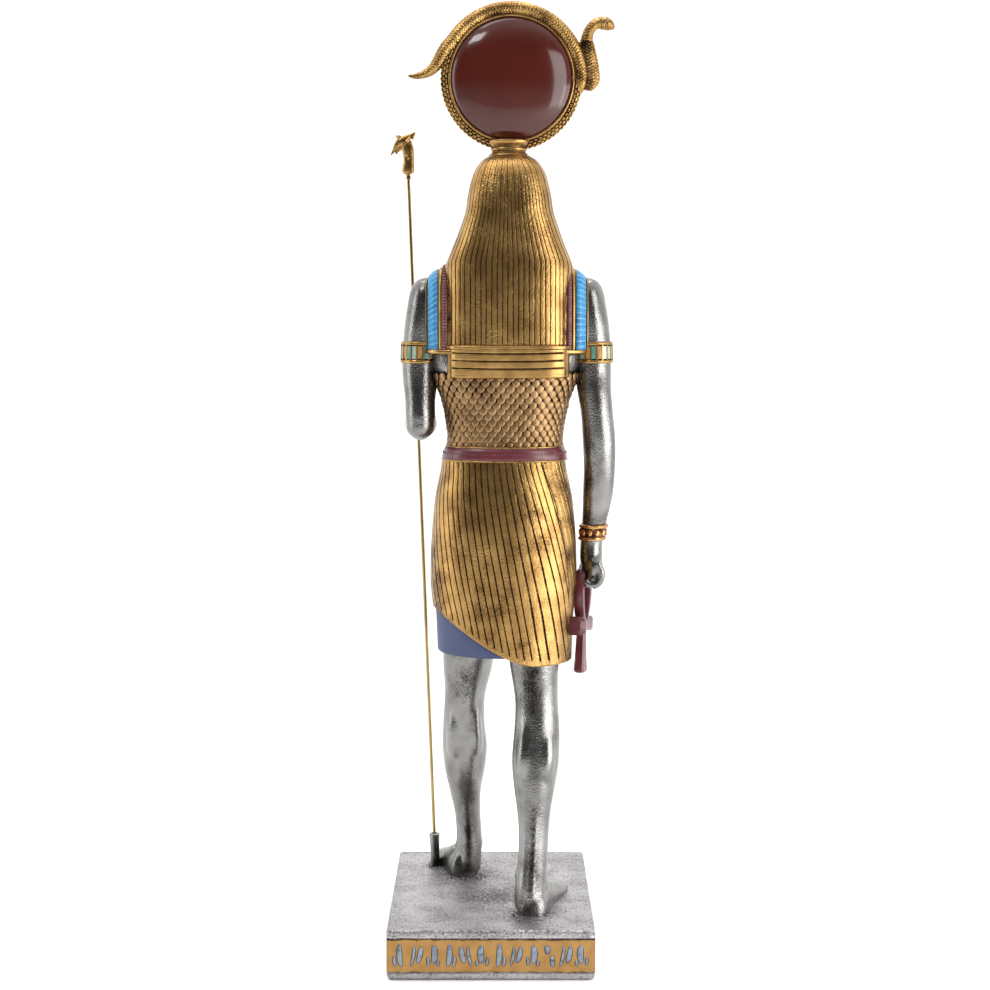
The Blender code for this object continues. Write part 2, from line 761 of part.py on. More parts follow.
def statue(parts, guides):
    """The whole casting: plinth, figure, headdress and ankh."""
    body = plinth(parts)
    cut(body, band_cutters(guides))
    across = Vector((1, 0, 0))
    pieces = [
        limb("left_leg", LEFT_LEG, 12, guides),
        limb("right_leg", RIGHT_LEG, 12, guides),
        foot("left_foot", (13.4, -12.3), math.radians(22), 29, guides),
        foot("right_foot", (-7.2, 27.5), math.radians(-15), 34, guides),
        upright("underkilt", KILT, 24, guides, grow=-CLOTH_STEP, heights=[140, 128, 112, 96, 80]),
        pleated_kilt(guides),
        limb("apron", APRON, 10, guides, power=4.0),
        scale_corselet(guides),
        upright("belt", BELT, 22, guides),
        upright("collar", COLLAR, 24, guides),
        wig_shell(guides),
        ribbed_panel(guides),
        limb("face", FACE, 14, guides, side=across),
    ]
    for side, word in ((1, "left"), (-1, "right")):
        arm = mirrored(UPPER_ARM, side)
        arm += LEFT_ELBOW if side == 1 else RIGHT_FOREARM
        arm = banded(arm, ARMLET_TOP, ARMLET_BOTTOM, BAND_STAND)
        if side == -1:
            arm = banded(arm, BRACELET_TOP, BRACELET_BOTTOM, BAND_STAND)
        pieces.append(limb(f"{word}_arm", arm, 12, guides))
        pieces.append(limb(f"{word}_lappet", mirrored(LAPPET, side), 10, guides, power=3.0))
    pieces += [
        limb("left_forearm", LEFT_FOREARM, 12, guides),
        neck_piece(guides),
        disc_lens(guides),
        disc_ring(guides),
        limb("snake_back", arc_stations(), 8, guides, side=Vector((0, 1, 0))),
        limb("snake_tail", TAIL, 8, guides, side=Vector((0, 1, 0))),
        limb("cobra", COBRA, 10, guides, side=across),
        ankh_bar("ankh_shaft", (-ANKH_DROP, 1.2), True, ANKH_THICK * 0.9, guides),
        ankh_bar("ankh_arms", (-ANKH_ARM, ANKH_ARM), False, ANKH_THICK, guides),
        ankh_loop(guides),
        socket_post(guides),
    ]
    unite(body, pieces)
    cut(body, rod_cutters(guides))
    merge_flat_facets(body)
    body.data.materials.append(material("pewter", PEWTER))
    return body


def staff_rod(collection):
    start, end = rod_end(False), rod_end(True)
    curve = bpy.data.curves.new("staff_rod", "CURVE")
    curve.dimensions = "3D"
    curve.bevel_depth = ROD_DIAMETER / 2
    curve.bevel_resolution = 2
    curve.use_fill_caps = True
    line = curve.splines.new("POLY")
    line.points.add(1)
    for point, place_on_line in zip(line.points, (start, end)):
        point.co = (*place_on_line, 1.0)
    made = bpy.data.objects.new("staff_rod", curve)
    curve.materials.append(material("rod_brass", BRASS))
    collection.objects.link(made)
    return made


def was_ring(centre, direction, across, half_across, half_deep, sides=10):
    other = direction.cross(across).normalized()
    return [
        centre + across * math.sin(a) * half_across + other * math.cos(a) * half_deep
        for a in angles_round(sides, 0.5)
    ]


def staff_head(parts, guides):
    """Was head: an animal's bent neck and long drooping snout, bored to sit on the rod."""
    _, direction = rod_line()
    left = (Vector((1, 0, 0)) - direction * direction.x).normalized()
    foot_point = rod_end(True) - direction * (SCEPTRE_HEAD_BORE - ROD_PLAY)
    size = SCEPTRE_HEAD_HEIGHT

    def spot(aside, up):
        return foot_point + left * aside * size + direction * up * size

    neck_rings = []
    for up, aside, half in WAS_NECK:
        neck_rings.append(was_ring(spot(aside, up), direction, left, (half + 0.03) * size, (half * 0.8 + 0.03) * size))
    neck = loft("staff_head", neck_rings, parts)
    snout_rings = []
    for i, (aside, up, half) in enumerate(WAS_SNOUT):
        before = WAS_SNOUT[max(i - 1, 0)]
        after = WAS_SNOUT[min(i + 1, len(WAS_SNOUT) - 1)]
        along = (spot(after[0], after[1]) - spot(before[0], before[1])).normalized()
        across = direction.cross(left).cross(along).normalized()
        snout_rings.append(was_ring(spot(aside, up), along, across, half * size, half * 1.15 * size))
    unite(neck, [loft("snout", snout_rings, guides)])
    radius = ROD_DIAMETER / 2 + ROD_PLAY
    bore = cylinder(
        "head_bore", foot_point - direction * SCEPTRE_HEAD_BORE,
        foot_point + direction * SCEPTRE_HEAD_BORE, radius, guides, sides=12,
    )
    cut(neck, [bore])
    neck.data.materials.append(material("head_brass", BRASS))
    return neck


def clear_scene():
    for old in list(bpy.data.objects):
        bpy.data.objects.remove(old)


def main():
    clear_scene()
    parts = bpy.data.collections.new("ra_statue")
    guides = bpy.data.collections.new("joined_shapes_and_cutters")
    for made in (parts, guides):
        bpy.context.scene.collection.children.link(made)
    statue(parts, guides)
    staff_rod(parts)
    staff_head(parts, guides)


main()
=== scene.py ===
"""Looks of a falcon-headed sun god figure on its plinth, with an ankh and a was sceptre.

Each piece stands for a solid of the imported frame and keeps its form. Lengths on the figure are in
parts, counted from under its middle on top of the plinth, and one part is a millimetre. The figure
faces -Y and the photograph was taken from behind it.
"""

import logging
import math
from dataclasses import dataclass
from enum import Enum

import bpy
import numpy as np
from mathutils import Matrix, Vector


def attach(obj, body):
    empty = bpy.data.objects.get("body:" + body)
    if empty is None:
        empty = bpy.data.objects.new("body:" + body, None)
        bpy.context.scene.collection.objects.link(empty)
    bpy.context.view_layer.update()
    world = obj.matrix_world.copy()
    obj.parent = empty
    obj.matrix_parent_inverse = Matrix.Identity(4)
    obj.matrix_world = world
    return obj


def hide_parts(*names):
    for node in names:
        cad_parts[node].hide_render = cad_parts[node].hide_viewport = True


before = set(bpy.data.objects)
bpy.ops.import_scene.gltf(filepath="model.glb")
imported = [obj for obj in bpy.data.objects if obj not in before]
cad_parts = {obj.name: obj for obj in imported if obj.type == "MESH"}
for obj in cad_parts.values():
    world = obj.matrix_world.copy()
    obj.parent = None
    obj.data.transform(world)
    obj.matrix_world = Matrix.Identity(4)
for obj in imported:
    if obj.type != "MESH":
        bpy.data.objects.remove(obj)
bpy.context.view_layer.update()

log = logging.getLogger("sun_god_figure")

PART = 0.001
FIGURE_X = -0.005
BASE_WIDTH = 0.064
BASE_DEPTH = 0.081
BASE_HEIGHT = 0.0159
ORIGIN = (FIGURE_X, 0.0, BASE_HEIGHT)
FULL_TURN = 2 * math.pi
UP = np.array([0.0, 0.0, 1.0])
BACKWARDS = np.array([0.0, 1.0, 0.0])
WAVES = 18
WAVE_SCALE = 6
BODY = "root"

Colour = tuple[float, float, float]


class Node(Enum):
    """Solids of the frame that the pieces stand for."""

    STATUE = "statue"
    ROD = "staff_rod"
    HEAD = "staff_head"


class Slot(Enum):
    """Material slots of the record."""

    PEWTER = "pewter_skin"
    GOLD = "antique_gold"
    MAROON = "maroon_gloss"
    TURQUOISE = "turquoise_paint"
    SLATE = "slate_blue_paint"
    AMBER = "amber_paint"
    COPPER = "copper_gold"
    BRASS = "rod_brass"


class Side(Enum):
    """The figure's own sides, as the sign of their x."""

    LEFT = 1
    RIGHT = -1

    @property
    def word(self) -> str:
        """Name of the side in small letters."""
        return self.name.lower()


# Finishes


@dataclass(frozen=True)
class Wiring:
    """Node tree with short ways to add to it."""

    tree: bpy.types.NodeTree

    def feed(self, node: bpy.types.Node, given: dict) -> None:
        """Fills a node's inputs.

        Args:
            node: Node of this tree.
            given: By an input's name or number, its value or the socket that it is linked to.
        """
        for key, value in given.items():
            if isinstance(value, bpy.types.NodeSocket):
                self.tree.links.new(value, node.inputs[key])
            else:
                node.inputs[key].default_value = value

    def add(self, kind: str, given: dict | None = None, **settings: str) -> bpy.types.bpy_prop_collection:
        """Adds a node.

        Args:
            kind: Its type.
            given: What goes into its inputs, as feed takes it.
            settings: Its own properties.

        Returns:
            Its outputs.
        """
        made = self.tree.nodes.new(kind)
        for name, value in settings.items():
            setattr(made, name, value)
        self.feed(made, given or {})
        return made.outputs

    def ramp(self, value: bpy.types.NodeSocket, stops: tuple) -> bpy.types.NodeSocket:
        """Runs a value through colours.

        Args:
            value: Socket with a value from 0 to 1.
            stops: Place and colour of each stop.

        Returns:
            Socket with the colour.
        """
        node = self.tree.nodes.new("ShaderNodeValToRGB")
        elements = node.color_ramp.elements
        while len(elements) < len(stops):
            elements.new(0.5)
        for element, (at, colour) in zip(elements, stops):
            element.position = at
            element.color = (*colour, 1.0)
        self.tree.links.new(value, node.inputs["Fac"])
        return node.outputs["Color"]


@dataclass(frozen=True)
class Finish:
    """Painted or plated surface with a dark wash left in its carving, and with painted shade where a piece asks for
    it.

    The wash and the painted shade follow the piece's own cavity attribute and two layers of noise. Sizes are in
    metres.
    """

    name: str
    slot: Slot
    bright: Colour
    second: Colour
    wash: Colour
    metallic: float = 0.0
    rough_bright: float = 0.28
    rough_wash: float = 0.5
    patch_size: float = 0.003
    patch_share: float = 0.2
    grain_size: float = 0.0003
    grain_share: float = 0.12
    bump: float = 0.15
    wash_low: float = 0.4
    wash_high: float = 1.0
    coat: float = 0.0
    specular: float = 0.5

    def build(self) -> bpy.types.Material:
        """Makes the node material, once.

        Returns:
            The material, ready to be given to a piece.
        """
        name = f"{self.name}_finish"
        made = bpy.data.materials.get(name)
        if made:
            return made
        made = bpy.data.materials.new(name)
        made.use_nodes = True
        wires = Wiring(made.node_tree)
        spot = wires.add("ShaderNodeTexCoord")["Object"]
        patches, grain = (
            wires.add("ShaderNodeTexNoise", {"Scale": 1 / size, "Detail": detail, "Vector": spot})["Fac"]
            for size, detail in ((self.patch_size, 3.0), (self.grain_size, 2.0))
        )
        # The attribute holds the wash in the carving and, on some pieces, painted shade.
        darkening = wires.add("ShaderNodeAttribute", attribute_name="cavity")["Fac"]
        for layer, share in ((patches, self.patch_share), (grain, self.grain_share)):
            centred = wires.add("ShaderNodeMapRange", {
                "Value": layer, "From Min": 0.3, "From Max": 0.7, "To Min": -share, "To Max": share,
            })["Result"]
            darkening = wires.add("ShaderNodeMath", {0: darkening, 1: centred}, operation="ADD")["Value"]
        wash = wires.add("ShaderNodeMapRange", {
            "Value": darkening, "From Min": self.wash_low, "From Max": self.wash_high,
        })["Result"]
        bare = wires.ramp(patches, ((0.35, self.bright), (0.65, self.second)))
        colour = wires.add("ShaderNodeMix", {
            "Factor": wash, "A": bare, "B": (*self.wash, 1.0),
        }, data_type="RGBA")
        rough = wires.add("ShaderNodeMapRange", {
            "Value": wash, "To Min": self.rough_bright, "To Max": self.rough_wash,
        })
        bump = wires.add("ShaderNodeBump", {
            "Strength": self.bump, "Distance": self.grain_size * 0.5, "Height": grain,
        })
        wires.feed(made.node_tree.nodes["Principled BSDF"], {
            "Metallic": self.metallic, "Coat Weight": self.coat, "Coat Roughness": 0.08,
            "Specular IOR Level": self.specular, "Base Color": colour["Result"],
            "Roughness": rough["Result"], "Normal": bump["Normal"],
        })
        return made


PEWTER = Finish(
    "pewter_skin", Slot.PEWTER, (0.26, 0.255, 0.245), (0.17, 0.165, 0.155), (0.022, 0.019, 0.015),
    metallic=0.95, rough_bright=0.2, rough_wash=0.36, patch_size=0.008, patch_share=0.3, grain_size=0.0005,
    grain_share=0.3, bump=0.4, wash_low=0.22,
)
PLINTH_PEWTER = Finish(
    "stippled_pewter", Slot.PEWTER, (0.49, 0.47, 0.485), (0.37, 0.35, 0.36), (0.045, 0.04, 0.036),
    metallic=0.8, rough_bright=0.34, patch_size=0.009, patch_share=0.14, grain_size=0.00075,
    grain_share=0.55, bump=1.0, wash_low=0.12, wash_high=1.1,
)
GOLD = Finish(
    "antique_gold", Slot.GOLD, (0.48, 0.29, 0.098), (0.31, 0.17, 0.055), (0.014, 0.007, 0.004),
    metallic=0.95, rough_wash=0.6, patch_size=0.007, patch_share=0.24, grain_size=0.00055, grain_share=0.24,
    bump=0.55, wash_low=0.28, wash_high=0.85,
)
BRIGHT_GOLD = Finish(
    "edge_gold", Slot.GOLD, (0.43, 0.262, 0.092), (0.29, 0.165, 0.055), (0.018, 0.01, 0.006),
    metallic=0.95, patch_size=0.004, patch_share=0.15, grain_size=0.0004, wash_high=0.95,
)
SCALE_GOLD = Finish(
    "scale_gold", Slot.GOLD, (0.36, 0.222, 0.105), (0.255, 0.148, 0.066), (0.012, 0.007, 0.005),
    metallic=0.9, rough_bright=0.42, rough_wash=0.6, patch_size=0.007, patch_share=0.22, grain_size=0.0004,
    grain_share=0.18, bump=0.25, wash_low=0.3, wash_high=0.85,
)
DISC_RED = Finish(
    "disc_red", Slot.MAROON, (0.068, 0.011, 0.007), (0.058, 0.0095, 0.0065), (0.03, 0.006, 0.004),
    rough_bright=0.16, rough_wash=0.3, patch_size=0.01, patch_share=0.1, grain_size=0.0006,
    grain_share=0.05, bump=0.05, coat=0.4, specular=0.3,
)
MAROON = Finish(
    "maroon_gloss", Slot.MAROON, (0.125, 0.026, 0.032), (0.095, 0.018, 0.024), (0.012, 0.004, 0.004),
    rough_bright=0.32, rough_wash=0.45, patch_size=0.006, patch_share=0.15, grain_size=0.0004,
    grain_share=0.1, wash_low=0.35, wash_high=0.9, coat=0.2,
)
TURQUOISE = Finish(
    "turquoise_paint", Slot.TURQUOISE, (0.035, 0.27, 0.53), (0.02, 0.15, 0.34), (0.18, 0.48, 0.7),
    rough_bright=0.42, patch_share=0.16, grain_size=0.0004, grain_share=0.2, bump=0.2,
)
SLATE = Finish(
    "slate_blue_paint", Slot.SLATE, (0.054, 0.07, 0.155), (0.044, 0.058, 0.13), (0.028, 0.032, 0.07),
    rough_bright=0.6, rough_wash=0.7, patch_size=0.008, patch_share=0.14, grain_size=0.0005,
    grain_share=0.1, bump=0.12, wash_low=0.35,
)
AMBER = Finish(
    "amber_paint", Slot.AMBER, (0.43, 0.23, 0.055), (0.33, 0.17, 0.036), (0.03, 0.015, 0.008),
    metallic=0.15, rough_bright=0.4, rough_wash=0.6, patch_size=0.004, grain_size=0.0004, grain_share=0.16,
    bump=0.2, wash_low=0.35, wash_high=0.9,
)
COPPER = Finish(
    "copper_gold", Slot.COPPER, (0.56, 0.33, 0.14), (0.42, 0.19, 0.075), (0.06, 0.014, 0.007),
    metallic=0.95, rough_bright=0.22, rough_wash=0.45, grain_size=0.0004, wash_low=0.35, wash_high=0.9,
)
BRASS = Finish(
    "rod_brass", Slot.BRASS, (0.42, 0.31, 0.13), (0.3, 0.22, 0.09), (0.06, 0.035, 0.014),
    metallic=1.0, rough_bright=0.25, rough_wash=0.45, patch_size=0.012, grain_share=0.1, bump=0.08,
    wash_low=0.45, wash_high=1.1,
)
MARK_BLUE = Finish(
    "mark_silver_blue", Slot.AMBER, (0.26, 0.31, 0.37), (0.18, 0.22, 0.28), (0.04, 0.04, 0.05),
    metallic=0.5, rough_bright=0.35, patch_share=0.15,
)
DARK_LINE = Finish(
    "dark_outline", Slot.AMBER, (0.022, 0.012, 0.008), (0.035, 0.018, 0.01), (0.008, 0.005, 0.004),
    metallic=0.1, rough_bright=0.5, rough_wash=0.7, patch_share=0.15, wash_low=0.3, wash_high=0.8,
)
PALE_INLAY = Finish(
    "pale_inlay", Slot.TURQUOISE, (0.46, 0.53, 0.42), (0.3, 0.4, 0.32), (0.06, 0.07, 0.05),
    metallic=0.3, bump=0.12,
)
GREEN_INLAY = Finish(
    "green_inlay", Slot.TURQUOISE, (0.12, 0.27, 0.22), (0.07, 0.18, 0.15), (0.02, 0.045, 0.04),
    metallic=0.2, rough_bright=0.3, bump=0.12,
)
BEAD_RED = Finish(
    "maroon_beads", Slot.MAROON, (0.26, 0.1, 0.1), (0.18, 0.05, 0.055), (0.02, 0.005, 0.005),
    metallic=0.2, rough_bright=0.3, patch_size=0.004, grain_share=0.1, bump=0.1, wash_low=0.35,
    wash_high=0.9,
)
EYE_GLASS = Finish(
    "eye_gloss", Slot.MAROON, (0.02, 0.012, 0.01), (0.03, 0.02, 0.012), (0.01, 0.006, 0.005),
    rough_bright=0.1, rough_wash=0.2, patch_share=0.1, grain_share=0.02, bump=0.02, wash_low=0.3,
    wash_high=0.8, coat=1.0,
)


# Making meshes


def place(points: np.ndarray) -> np.ndarray:
    """World places, in metres, of points given in parts."""
    return np.asarray(points, float) * PART + ORIGIN


def unit(vectors: np.ndarray) -> np.ndarray:
    """The vectors at a length of one."""
    return vectors / np.maximum(np.linalg.norm(vectors, axis=-1, keepdims=True), 1e-12)


def ease(value: np.ndarray | float) -> np.ndarray | float:
    """Smooth step from 0 to 1."""
    value = np.clip(value, 0.0, 1.0)
    return value * value * (3 - 2 * value)


def ditch(phase: np.ndarray, width: float) -> np.ndarray:
    """Narrow groove once in every whole phase, 1 at its bottom."""
    away = np.abs(phase - np.round(phase))
    return np.exp(-((away / width) ** 2))


def inked(phase: np.ndarray) -> np.ndarray:
    """Dark line once in every whole phase, a little wider than its groove."""
    return 1 - ease((np.abs(phase - np.round(phase)) - 0.09) / 0.04)


def rounded(turn: np.ndarray, power: float) -> tuple[np.ndarray, np.ndarray]:
    """Outline between a circle and a square.

    Args:
        turn: Directions from the middle, in radians.
        power: 2 for a circle, more for a squarer outline.

    Returns:
        Sideways and lengthways places of its points, for half sizes of one.
    """
    across, along = np.sin(turn), np.cos(turn)
    reach = (np.abs(across) ** power + np.abs(along) ** power) ** (-1 / power)
    return across * reach, along * reach


def run_of(points: np.ndarray) -> np.ndarray:
    """Length of a line of points up to each of them."""
    return np.concatenate([[0.0], np.cumsum(np.linalg.norm(np.diff(points, axis=0), axis=1))])


def between(at: np.ndarray, keys: np.ndarray, spot: np.ndarray) -> np.ndarray:
    """Smooth values between rows of keys.

    Args:
        at: Place of each row, rising.
        keys: The rows.
        spot: Places wanted.

    Returns:
        Values at those places, along a new last axis.
    """
    slope = np.gradient(keys, at, axis=0)
    i = np.clip(np.searchsorted(at, spot, side="right") - 1, 0, len(at) - 2)
    gap = (at[i + 1] - at[i])[..., None]
    u = (spot - at[i])[..., None] / gap
    return (
        keys[i] * (2 * u**3 - 3 * u**2 + 1) + keys[i + 1] * (3 * u**2 - 2 * u**3)
        + slope[i] * gap * (u**3 - 2 * u**2 + u) + slope[i + 1] * gap * (u**3 - u**2)
    )


def flow(stations: list, count: int) -> np.ndarray:
    """Smooth run through stations.

    Args:
        stations: Rows whose first three numbers are a place.
        count: Rows wanted.

    Returns:
        Rows evenly spaced along the run.
    """
    keys = np.array(stations, float)
    at = run_of(keys[:, :3])
    return between(at, keys, np.linspace(0, at[-1], count))


def limb(stations: list, rows: int, columns: int, power: float = 2.0,
         side: tuple = (1, 0, 0), grow: float = 0.0) -> np.ndarray:
    """Grid of points round a path.

    Args:
        stations: Places along it, each with a half size along side and one square to it.
        rows: Rings along the path.
        columns: Points round each ring.
        power: How square the rings are.
        side: Direction of the first half size.
        grow: Added to both half sizes.

    Returns:
        Points as rows by columns by three, in parts.
    """
    keys = flow(stations, rows)
    centres = keys[:, :3]
    along = unit(np.gradient(centres, axis=0))
    across = np.array(side, float)
    across = unit(across - along * (along @ across)[:, None])
    other = np.cross(along, across)
    u, v = rounded(np.linspace(0, FULL_TURN, columns, endpoint=False), power)
    half = np.maximum(keys[:, 3:5] + grow, 0.02)
    return (
        centres[:, None] + across[:, None] * (half[:, :1] * u)[..., None]
        + other[:, None] * (half[:, 1:] * v)[..., None]
    )


def blob(centre: tuple, half: tuple, turn: float = 0.0, columns: int = 24) -> np.ndarray:
    """Grid of points over an egg, turned in plan.

    Args:
        centre: Its middle, in parts.
        half: Half sizes along x, y and z.
        turn: Turn round the upright, in radians.
        columns: Points round it.

    Returns:
        Points as rows by columns by three.
    """
    dip = np.linspace(0.12, math.pi - 0.12, columns // 2)[:, None]
    round_ = np.linspace(0, FULL_TURN, columns, endpoint=False)[None]
    x = half[0] * np.sin(dip) * np.cos(round_)
    y = half[1] * np.sin(dip) * np.sin(round_)
    z = half[2] * np.cos(dip) * np.ones_like(round_)
    c, s = math.cos(turn), math.sin(turn)
    return np.stack([x * c - y * s, x * s + y * c, z], -1) + np.array(centre, float)


def faces_of(rows: int, columns: int, start: int = 0) -> tuple[np.ndarray, list]:
    """Faces of a closed tube over a grid, whose two middle points follow the grid.

    Args:
        rows: Rings of the grid.
        columns: Points in a ring.
        start: Number of its first point.

    Returns:
        The quads, and the triangles of both ends.
    """
    index = np.arange(rows * columns).reshape(rows, columns) + start
    near, far = index[:-1], index[1:]
    quads = np.stack([near, np.roll(near, -1, 1), np.roll(far, -1, 1), far], -1).reshape(-1, 4)
    first, last = index[0], index[-1]
    middle = start + rows * columns
    ends = np.concatenate([
        np.stack([np.roll(first, -1), first, np.full(columns, middle)], -1),
        np.stack([last, np.roll(last, -1), np.full(columns, middle + 1)], -1),
    ])
    return quads, ends.tolist()


def volume(points: np.ndarray, quads: np.ndarray) -> float:
    """Volume, with its sign, that a tube's quads hold about their own middle."""
    p = points - points.mean(axis=0)
    a, b, c, d = (p[quads[:, i]] for i in range(4))
    return float((np.cross(a, b) * c).sum() + (np.cross(a, c) * d).sum())


def join_tubes(grids: list[np.ndarray]) -> tuple[np.ndarray, list]:
    """Points and faces of several closed tubes.

    Args:
        grids: Each tube's points as rows by columns by three.

    Returns:
        All points in parts, and all faces, looking outwards.
    """
    points, faces, start = [], [], 0
    for grid in grids:
        rows, columns, _ = grid.shape
        flat = np.concatenate([grid.reshape(-1, 3), [grid[0].mean(axis=0)], [grid[-1].mean(axis=0)]])
        quads, ends = faces_of(rows, columns, start)
        if volume(flat, quads - start) < 0:
            quads = quads[:, ::-1]
            ends = [face[::-1] for face in ends]
        points.append(flat)
        faces += quads.tolist() + ends
        start += len(flat)
    return np.concatenate(points), faces


def mesh_of(name: str, points: np.ndarray, faces: list, cavity: np.ndarray | None = None,
            sharp: float | None = None) -> bpy.types.Mesh:
    """Mesh from points in parts.

    Args:
        name: Its name.
        points: Points in parts.
        faces: Lists of point numbers.
        cavity: How dark each point is, from the wash in the carving and from painted shade, 0 to 1.
        sharp: Angle in degrees from which an edge stays crisp, or None for smooth all over.

    Returns:
        The mesh, in metres in the frame's own coordinates.
    """
    mesh = bpy.data.meshes.new(name)
    mesh.from_pydata(place(points).tolist(), [], faces)
    store(mesh, cavity if cavity is not None else np.zeros(len(points)))
    mesh.shade_smooth()
    if sharp is not None:
        mesh.set_sharp_from_angle(angle=math.radians(sharp))
    return mesh


def store(mesh: bpy.types.Mesh, cavity: np.ndarray) -> None:
    """Keeps each point's darkness, from the wash in the carving and from painted shade, for the finish to read."""
    kept = mesh.attributes.get("cavity") or mesh.attributes.new("cavity", "FLOAT", "POINT")
    kept.data.foreach_set("value", np.asarray(cavity, np.float32).ravel())


def piece(name: str, mesh: bpy.types.Mesh, finish: Finish, node: Node = Node.STATUE) -> None:
    """Puts a finished mesh in the scene as a piece of the frame.

    Args:
        name: Its name.
        mesh: Its mesh, in the frame's coordinates.
        finish: What it is coated with.
        node: Solid that it stands for.
    """
    made = bpy.data.objects.new(name, mesh)
    bpy.context.scene.collection.objects.link(made)
    mesh.materials.clear()
    mesh.materials.append(finish.build())
    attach(made, BODY)
    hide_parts(node.value)
    log.info("%s: %d faces", name, len(mesh.polygons))


def tube_piece(name: str, grid: np.ndarray, finish: Finish, cavity: np.ndarray | None = None,
               sharp: float | None = None, node: Node = Node.STATUE) -> None:
    """Makes a piece from one grid of points.

    Args:
        name: Its name.
        grid: Points as rows by columns by three, in parts.
        finish: What it is coated with.
        cavity: Darkness at each grid point, from the wash in the carving and from painted shade.
        sharp: Angle in degrees from which an edge stays crisp.
        node: Solid that it stands for.
    """
    points, faces = join_tubes([grid])
    deep = None
    if cavity is not None:
        deep = np.concatenate([cavity.ravel(), [cavity[0].mean(), cavity[-1].mean()]])
    piece(name, mesh_of(name, points, faces, deep, sharp), finish, node)


def baked(made: bpy.types.Object) -> bpy.types.Mesh:
    """Mesh of an object with its modifiers applied."""
    graph = bpy.context.evaluated_depsgraph_get()
    return bpy.data.meshes.new_from_object(made.evaluated_get(graph), depsgraph=graph)


def hollows(mesh: bpy.types.Mesh, reach: int, strength: float) -> np.ndarray:
    """How hollow a mesh is at each point, 0 on its crests to 1 in its creases.

    Args:
        mesh: Even mesh, as a voxel remesh leaves it.
        reach: Rounds of smoothing that the measure is taken over.
        strength: What the hollow is multiplied by.

    Returns:
        One number for each point.
    """
    count = len(mesh.vertices)
    points = np.empty(count * 3)
    mesh.vertices.foreach_get("co", points)
    points = points.reshape(-1, 3)
    normals = np.array([tuple(n.vector) for n in mesh.vertex_normals])
    edges = np.empty(len(mesh.edges) * 2, int)
    mesh.edges.foreach_get("vertices", edges)
    a, b = edges.reshape(-1, 2).T
    ends, others = np.concatenate([a, b]), np.concatenate([b, a])
    degree = np.maximum(np.bincount(ends, minlength=count), 1)
    soft = points
    for _ in range(reach):
        soft = np.stack([
            np.bincount(ends, weights=soft[others, k], minlength=count) / degree for k in range(3)
        ], -1)
    length = np.linalg.norm(points[a] - points[b], axis=1).mean()
    return np.clip(((soft - points) * normals).sum(axis=1) / length * strength, 0, 1)


@dataclass(frozen=True)
class Flesh:
    """Body parts melted into one skin: shells joined on a voxel grid and smoothed."""

    name: str
    voxel: float = 0.42
    rounds: int = 4
    reach: int = 14
    strength: float = 1.5

    def cast(self, grids: list[np.ndarray], finish: Finish, node: Node = Node.STATUE,
             floor: float | None = 0.0, stains: tuple = ()) -> None:
        """Joins the shells.

        Args:
            grids: Each shell's points, in parts.
            finish: What the skin is coated with.
            node: Solid that it stands for.
            floor: Height that the skin may not go below, or None.
            stains: Places where shade is painted, darkening the skin, each with its reach aside and upwards and
                depth.
        """
        points, faces = join_tubes(grids)
        rough = bpy.data.objects.new("rough", mesh_of("rough", points, faces))
        bpy.context.scene.collection.objects.link(rough)
        melt = rough.modifiers.new("melt", "REMESH")
        melt.mode = "VOXEL"
        melt.voxel_size = self.voxel * PART
        ease_out = rough.modifiers.new("ease", "SMOOTH")
        ease_out.factor = 0.5
        ease_out.iterations = self.rounds
        mesh = baked(rough)
        mesh.name = self.name
        bpy.data.objects.remove(rough)
        if floor is not None:
            lowest = BASE_HEIGHT + (floor - 0.6) * PART
            for vertex in mesh.vertices:
                vertex.co.z = max(vertex.co.z, lowest)
        deep = hollows(mesh, self.reach, self.strength)
        spots = np.array([tuple(vertex.co) for vertex in mesh.vertices])
        spots = (spots - ORIGIN) / PART
        # Painted shade: the skin is darkened round each of these places.
        for x, y, z, aside, upward, share in stains:
            away = ((spots - (x, y, z)) / (aside, aside * 1.4, upward)) ** 2
            deep = np.maximum(deep, share * np.exp(-away.sum(axis=1)))
        store(mesh, deep)
        mesh.shade_smooth()
        piece(self.name, mesh, finish, node)


# Forms of the figure


def spread(share: np.ndarray, width: float, depth: float, power: float) -> np.ndarray:
    """Directions from the middle that cut an outline's length at even shares.

    Args:
        share: Place round the outline, 0 at the back, growing to the figure's left, up to half each way.
        width: Half width.
        depth: Half depth.
        power: How square the outline is.

    Returns:
        Directions in radians, 0 towards the back.
    """
    turn = np.linspace(-math.pi, math.pi, 721)
    reach = (np.abs(np.sin(turn) / width) ** power + np.abs(np.cos(turn) / depth) ** power) ** (-1 / power)
    x, y = reach * np.sin(turn), reach * np.cos(turn)
    run = np.concatenate([[0.0], np.cumsum(np.hypot(np.diff(x), np.diff(y)))])
    return np.interp(share, run / run[-1] - 0.5, turn)


